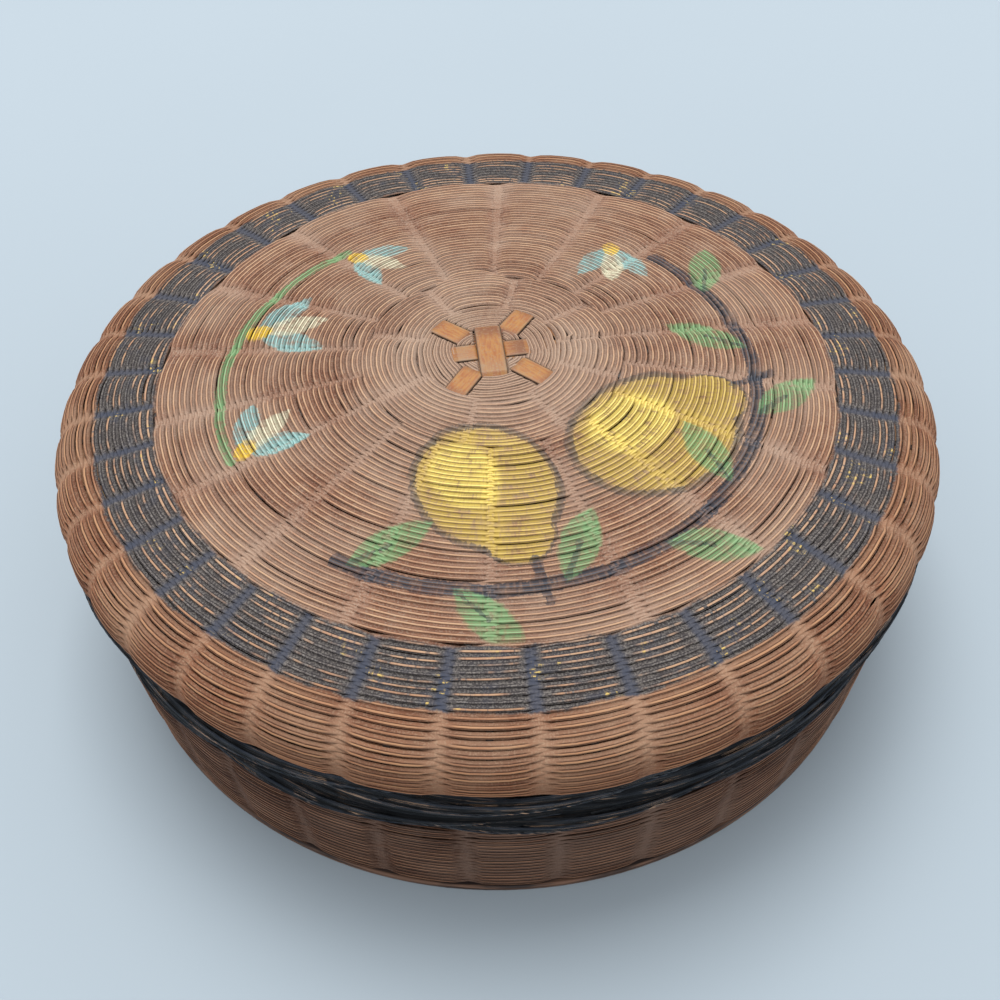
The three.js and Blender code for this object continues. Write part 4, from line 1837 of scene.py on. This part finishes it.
@dataclass(frozen=True)
class Studio:
    """The floor, the lights and the camera at the photograph's viewing angle."""

    focal_pixels: float = 1145.0
    pitch: float = 47.71
    roll: float = -1.27
    distance: float = 0.3037
    target: tuple[float, float, float] = (0.0006, -0.0536, 0.082)
    image_size: int = 1000
    sensor_width: float = 36.0
    floor_size: float = 6.0
    floor_roughness: float = 0.9
    floor_colour: Colour = (0.375, 0.435, 0.478)
    world_colour: Colour = (0.93, 0.96, 1.0)
    world_strength: float = 0.98
    key_energy: float = 290.0
    key_place: tuple[float, float, float] = (-0.4, 1.7, 6.0)
    key_aim: tuple[float, float, float] = (0.0, 0.0, 0.05)
    key_size: float = 3.4

    def build(self) -> None:
        """Builds the studio."""
        self.place_camera()
        self.lay_floor()
        self.light()

    def place_camera(self) -> None:
        """Places the camera by the angles that were fitted to the painted ring and the outline."""
        pitch, roll = math.radians(self.pitch), math.radians(self.roll)
        back = Vector((0.0, -math.cos(pitch), math.sin(pitch)))
        level = Vector((1.0, 0.0, 0.0))
        upright = back.cross(level)
        right = math.cos(roll) * level + math.sin(roll) * upright
        up = -math.sin(roll) * level + math.cos(roll) * upright
        camera_data = bpy.data.cameras.new("camera")
        camera_data.sensor_width = self.sensor_width
        camera_data.lens = self.focal_pixels / self.image_size * self.sensor_width
        camera = bpy.data.objects.new("camera", camera_data)
        bpy.context.scene.collection.objects.link(camera)
        turn = Matrix((right, up, back)).transposed().to_4x4()
        camera.matrix_world = Matrix.Translation(Vector(self.target) + back * self.distance) @ turn
        bpy.context.scene.camera = camera

    def lay_floor(self) -> None:
        """Lays a wide pale floor."""
        deselect()
        bpy.ops.mesh.primitive_plane_add(size=self.floor_size, location=(0.0, 0.0, 0.0))
        floor = bpy.context.active_object
        floor.name = "floor"
        sheet = NodeSheet("floor_paper")
        place, *_ = sheet.place()
        cloud = sheet.noise(place, 0.004, 1.0)
        tint = sheet.mix(cloud, self.floor_colour, tuple(0.96 * part for part in self.floor_colour))
        sheet.feed(sheet.shader.inputs["Base Color"], tint)
        sheet.shader.inputs["Roughness"].default_value = self.floor_roughness
        floor.data.materials.append(sheet.material)

    def light(self) -> None:
        """Lights the basket from above with one wide lamp and a pale world."""
        world = bpy.data.worlds.new("studio")
        world.use_nodes = True
        ground = world.node_tree.nodes["Background"]
        ground.inputs["Color"].default_value = (*self.world_colour, 1.0)
        ground.inputs["Strength"].default_value = self.world_strength
        bpy.context.scene.world = world
        lamp_data = bpy.data.lights.new("key", "AREA")
        lamp_data.shape = "RECTANGLE"
        lamp_data.size = self.key_size
        lamp_data.size_y = self.key_size
        lamp_data.energy = self.key_energy
        lamp = bpy.data.objects.new("key", lamp_data)
        bpy.context.scene.collection.objects.link(lamp)
        place = Vector(self.key_place)
        aim = Vector(self.key_aim) - place
        turn = aim.to_track_quat("-Z", "Y").to_matrix().to_4x4()
        lamp.matrix_world = Matrix.Translation(place) @ turn


LID_REED = ReedFinish(
    name="lid_reed",
    stain=(0.315, 0.160, 0.098),
    stain_dark=(0.165, 0.070, 0.043),
    worn=(0.56, 0.35, 0.205),
    worn_red=(0.48, 0.24, 0.135),
    crease_shade=(0.045, 0.018, 0.010),
    dust=(0.43, 0.315, 0.235),
    dust_share=0.75,
    crease_shade_share=0.4,
    paint=Paint.LID,
)
BASE_REED = ReedFinish(
    name="base_reed",
    stain=(0.100, 0.044, 0.025),
    stain_dark=(0.040, 0.016, 0.009),
    worn=(0.33, 0.165, 0.090),
    worn_red=(0.22, 0.090, 0.046),
    crease_shade=(0.005, 0.003, 0.002),
    dust=(0.18, 0.118, 0.088),
    dust_share=0.5,
    crease_shade_share=0.5,
)
FOOT_BAMBOO = HoopFinish("foot_bamboo", (0.020, 0.009, 0.006), (0.21, 0.105, 0.060), shade_within=124.2)
SEAT_BAMBOO = HoopFinish("seat_bamboo", (0.30, 0.17, 0.08), (0.50, 0.33, 0.18), dark_top=52.0)


def main() -> None:
    """Builds the studio and both halves of the basket."""
    logging.basicConfig(level=logging.INFO, format="%(message)s")
    bpy.context.scene.view_settings.view_transform = "Standard"
    Studio().build()
    slats, border = SlatFinish().build(), BorderFinish().build()
    Lid(Body.LID, lid_outline(), LID_REED.build(), slats, border).build()
    Base(Body.BASE, base_outline(), BASE_REED.build(), slats, border).build()
    Hoop("foot_ring", "foot_hoop", FOOT_BAMBOO, thickness=5.2, rounding=0.6, inset=0.8).build()
    Hoop("seat_ring", "seat_hoop", SEAT_BAMBOO, thickness=1.6, rounding=0.5).build()


if __name__ == "__main__":
    main()
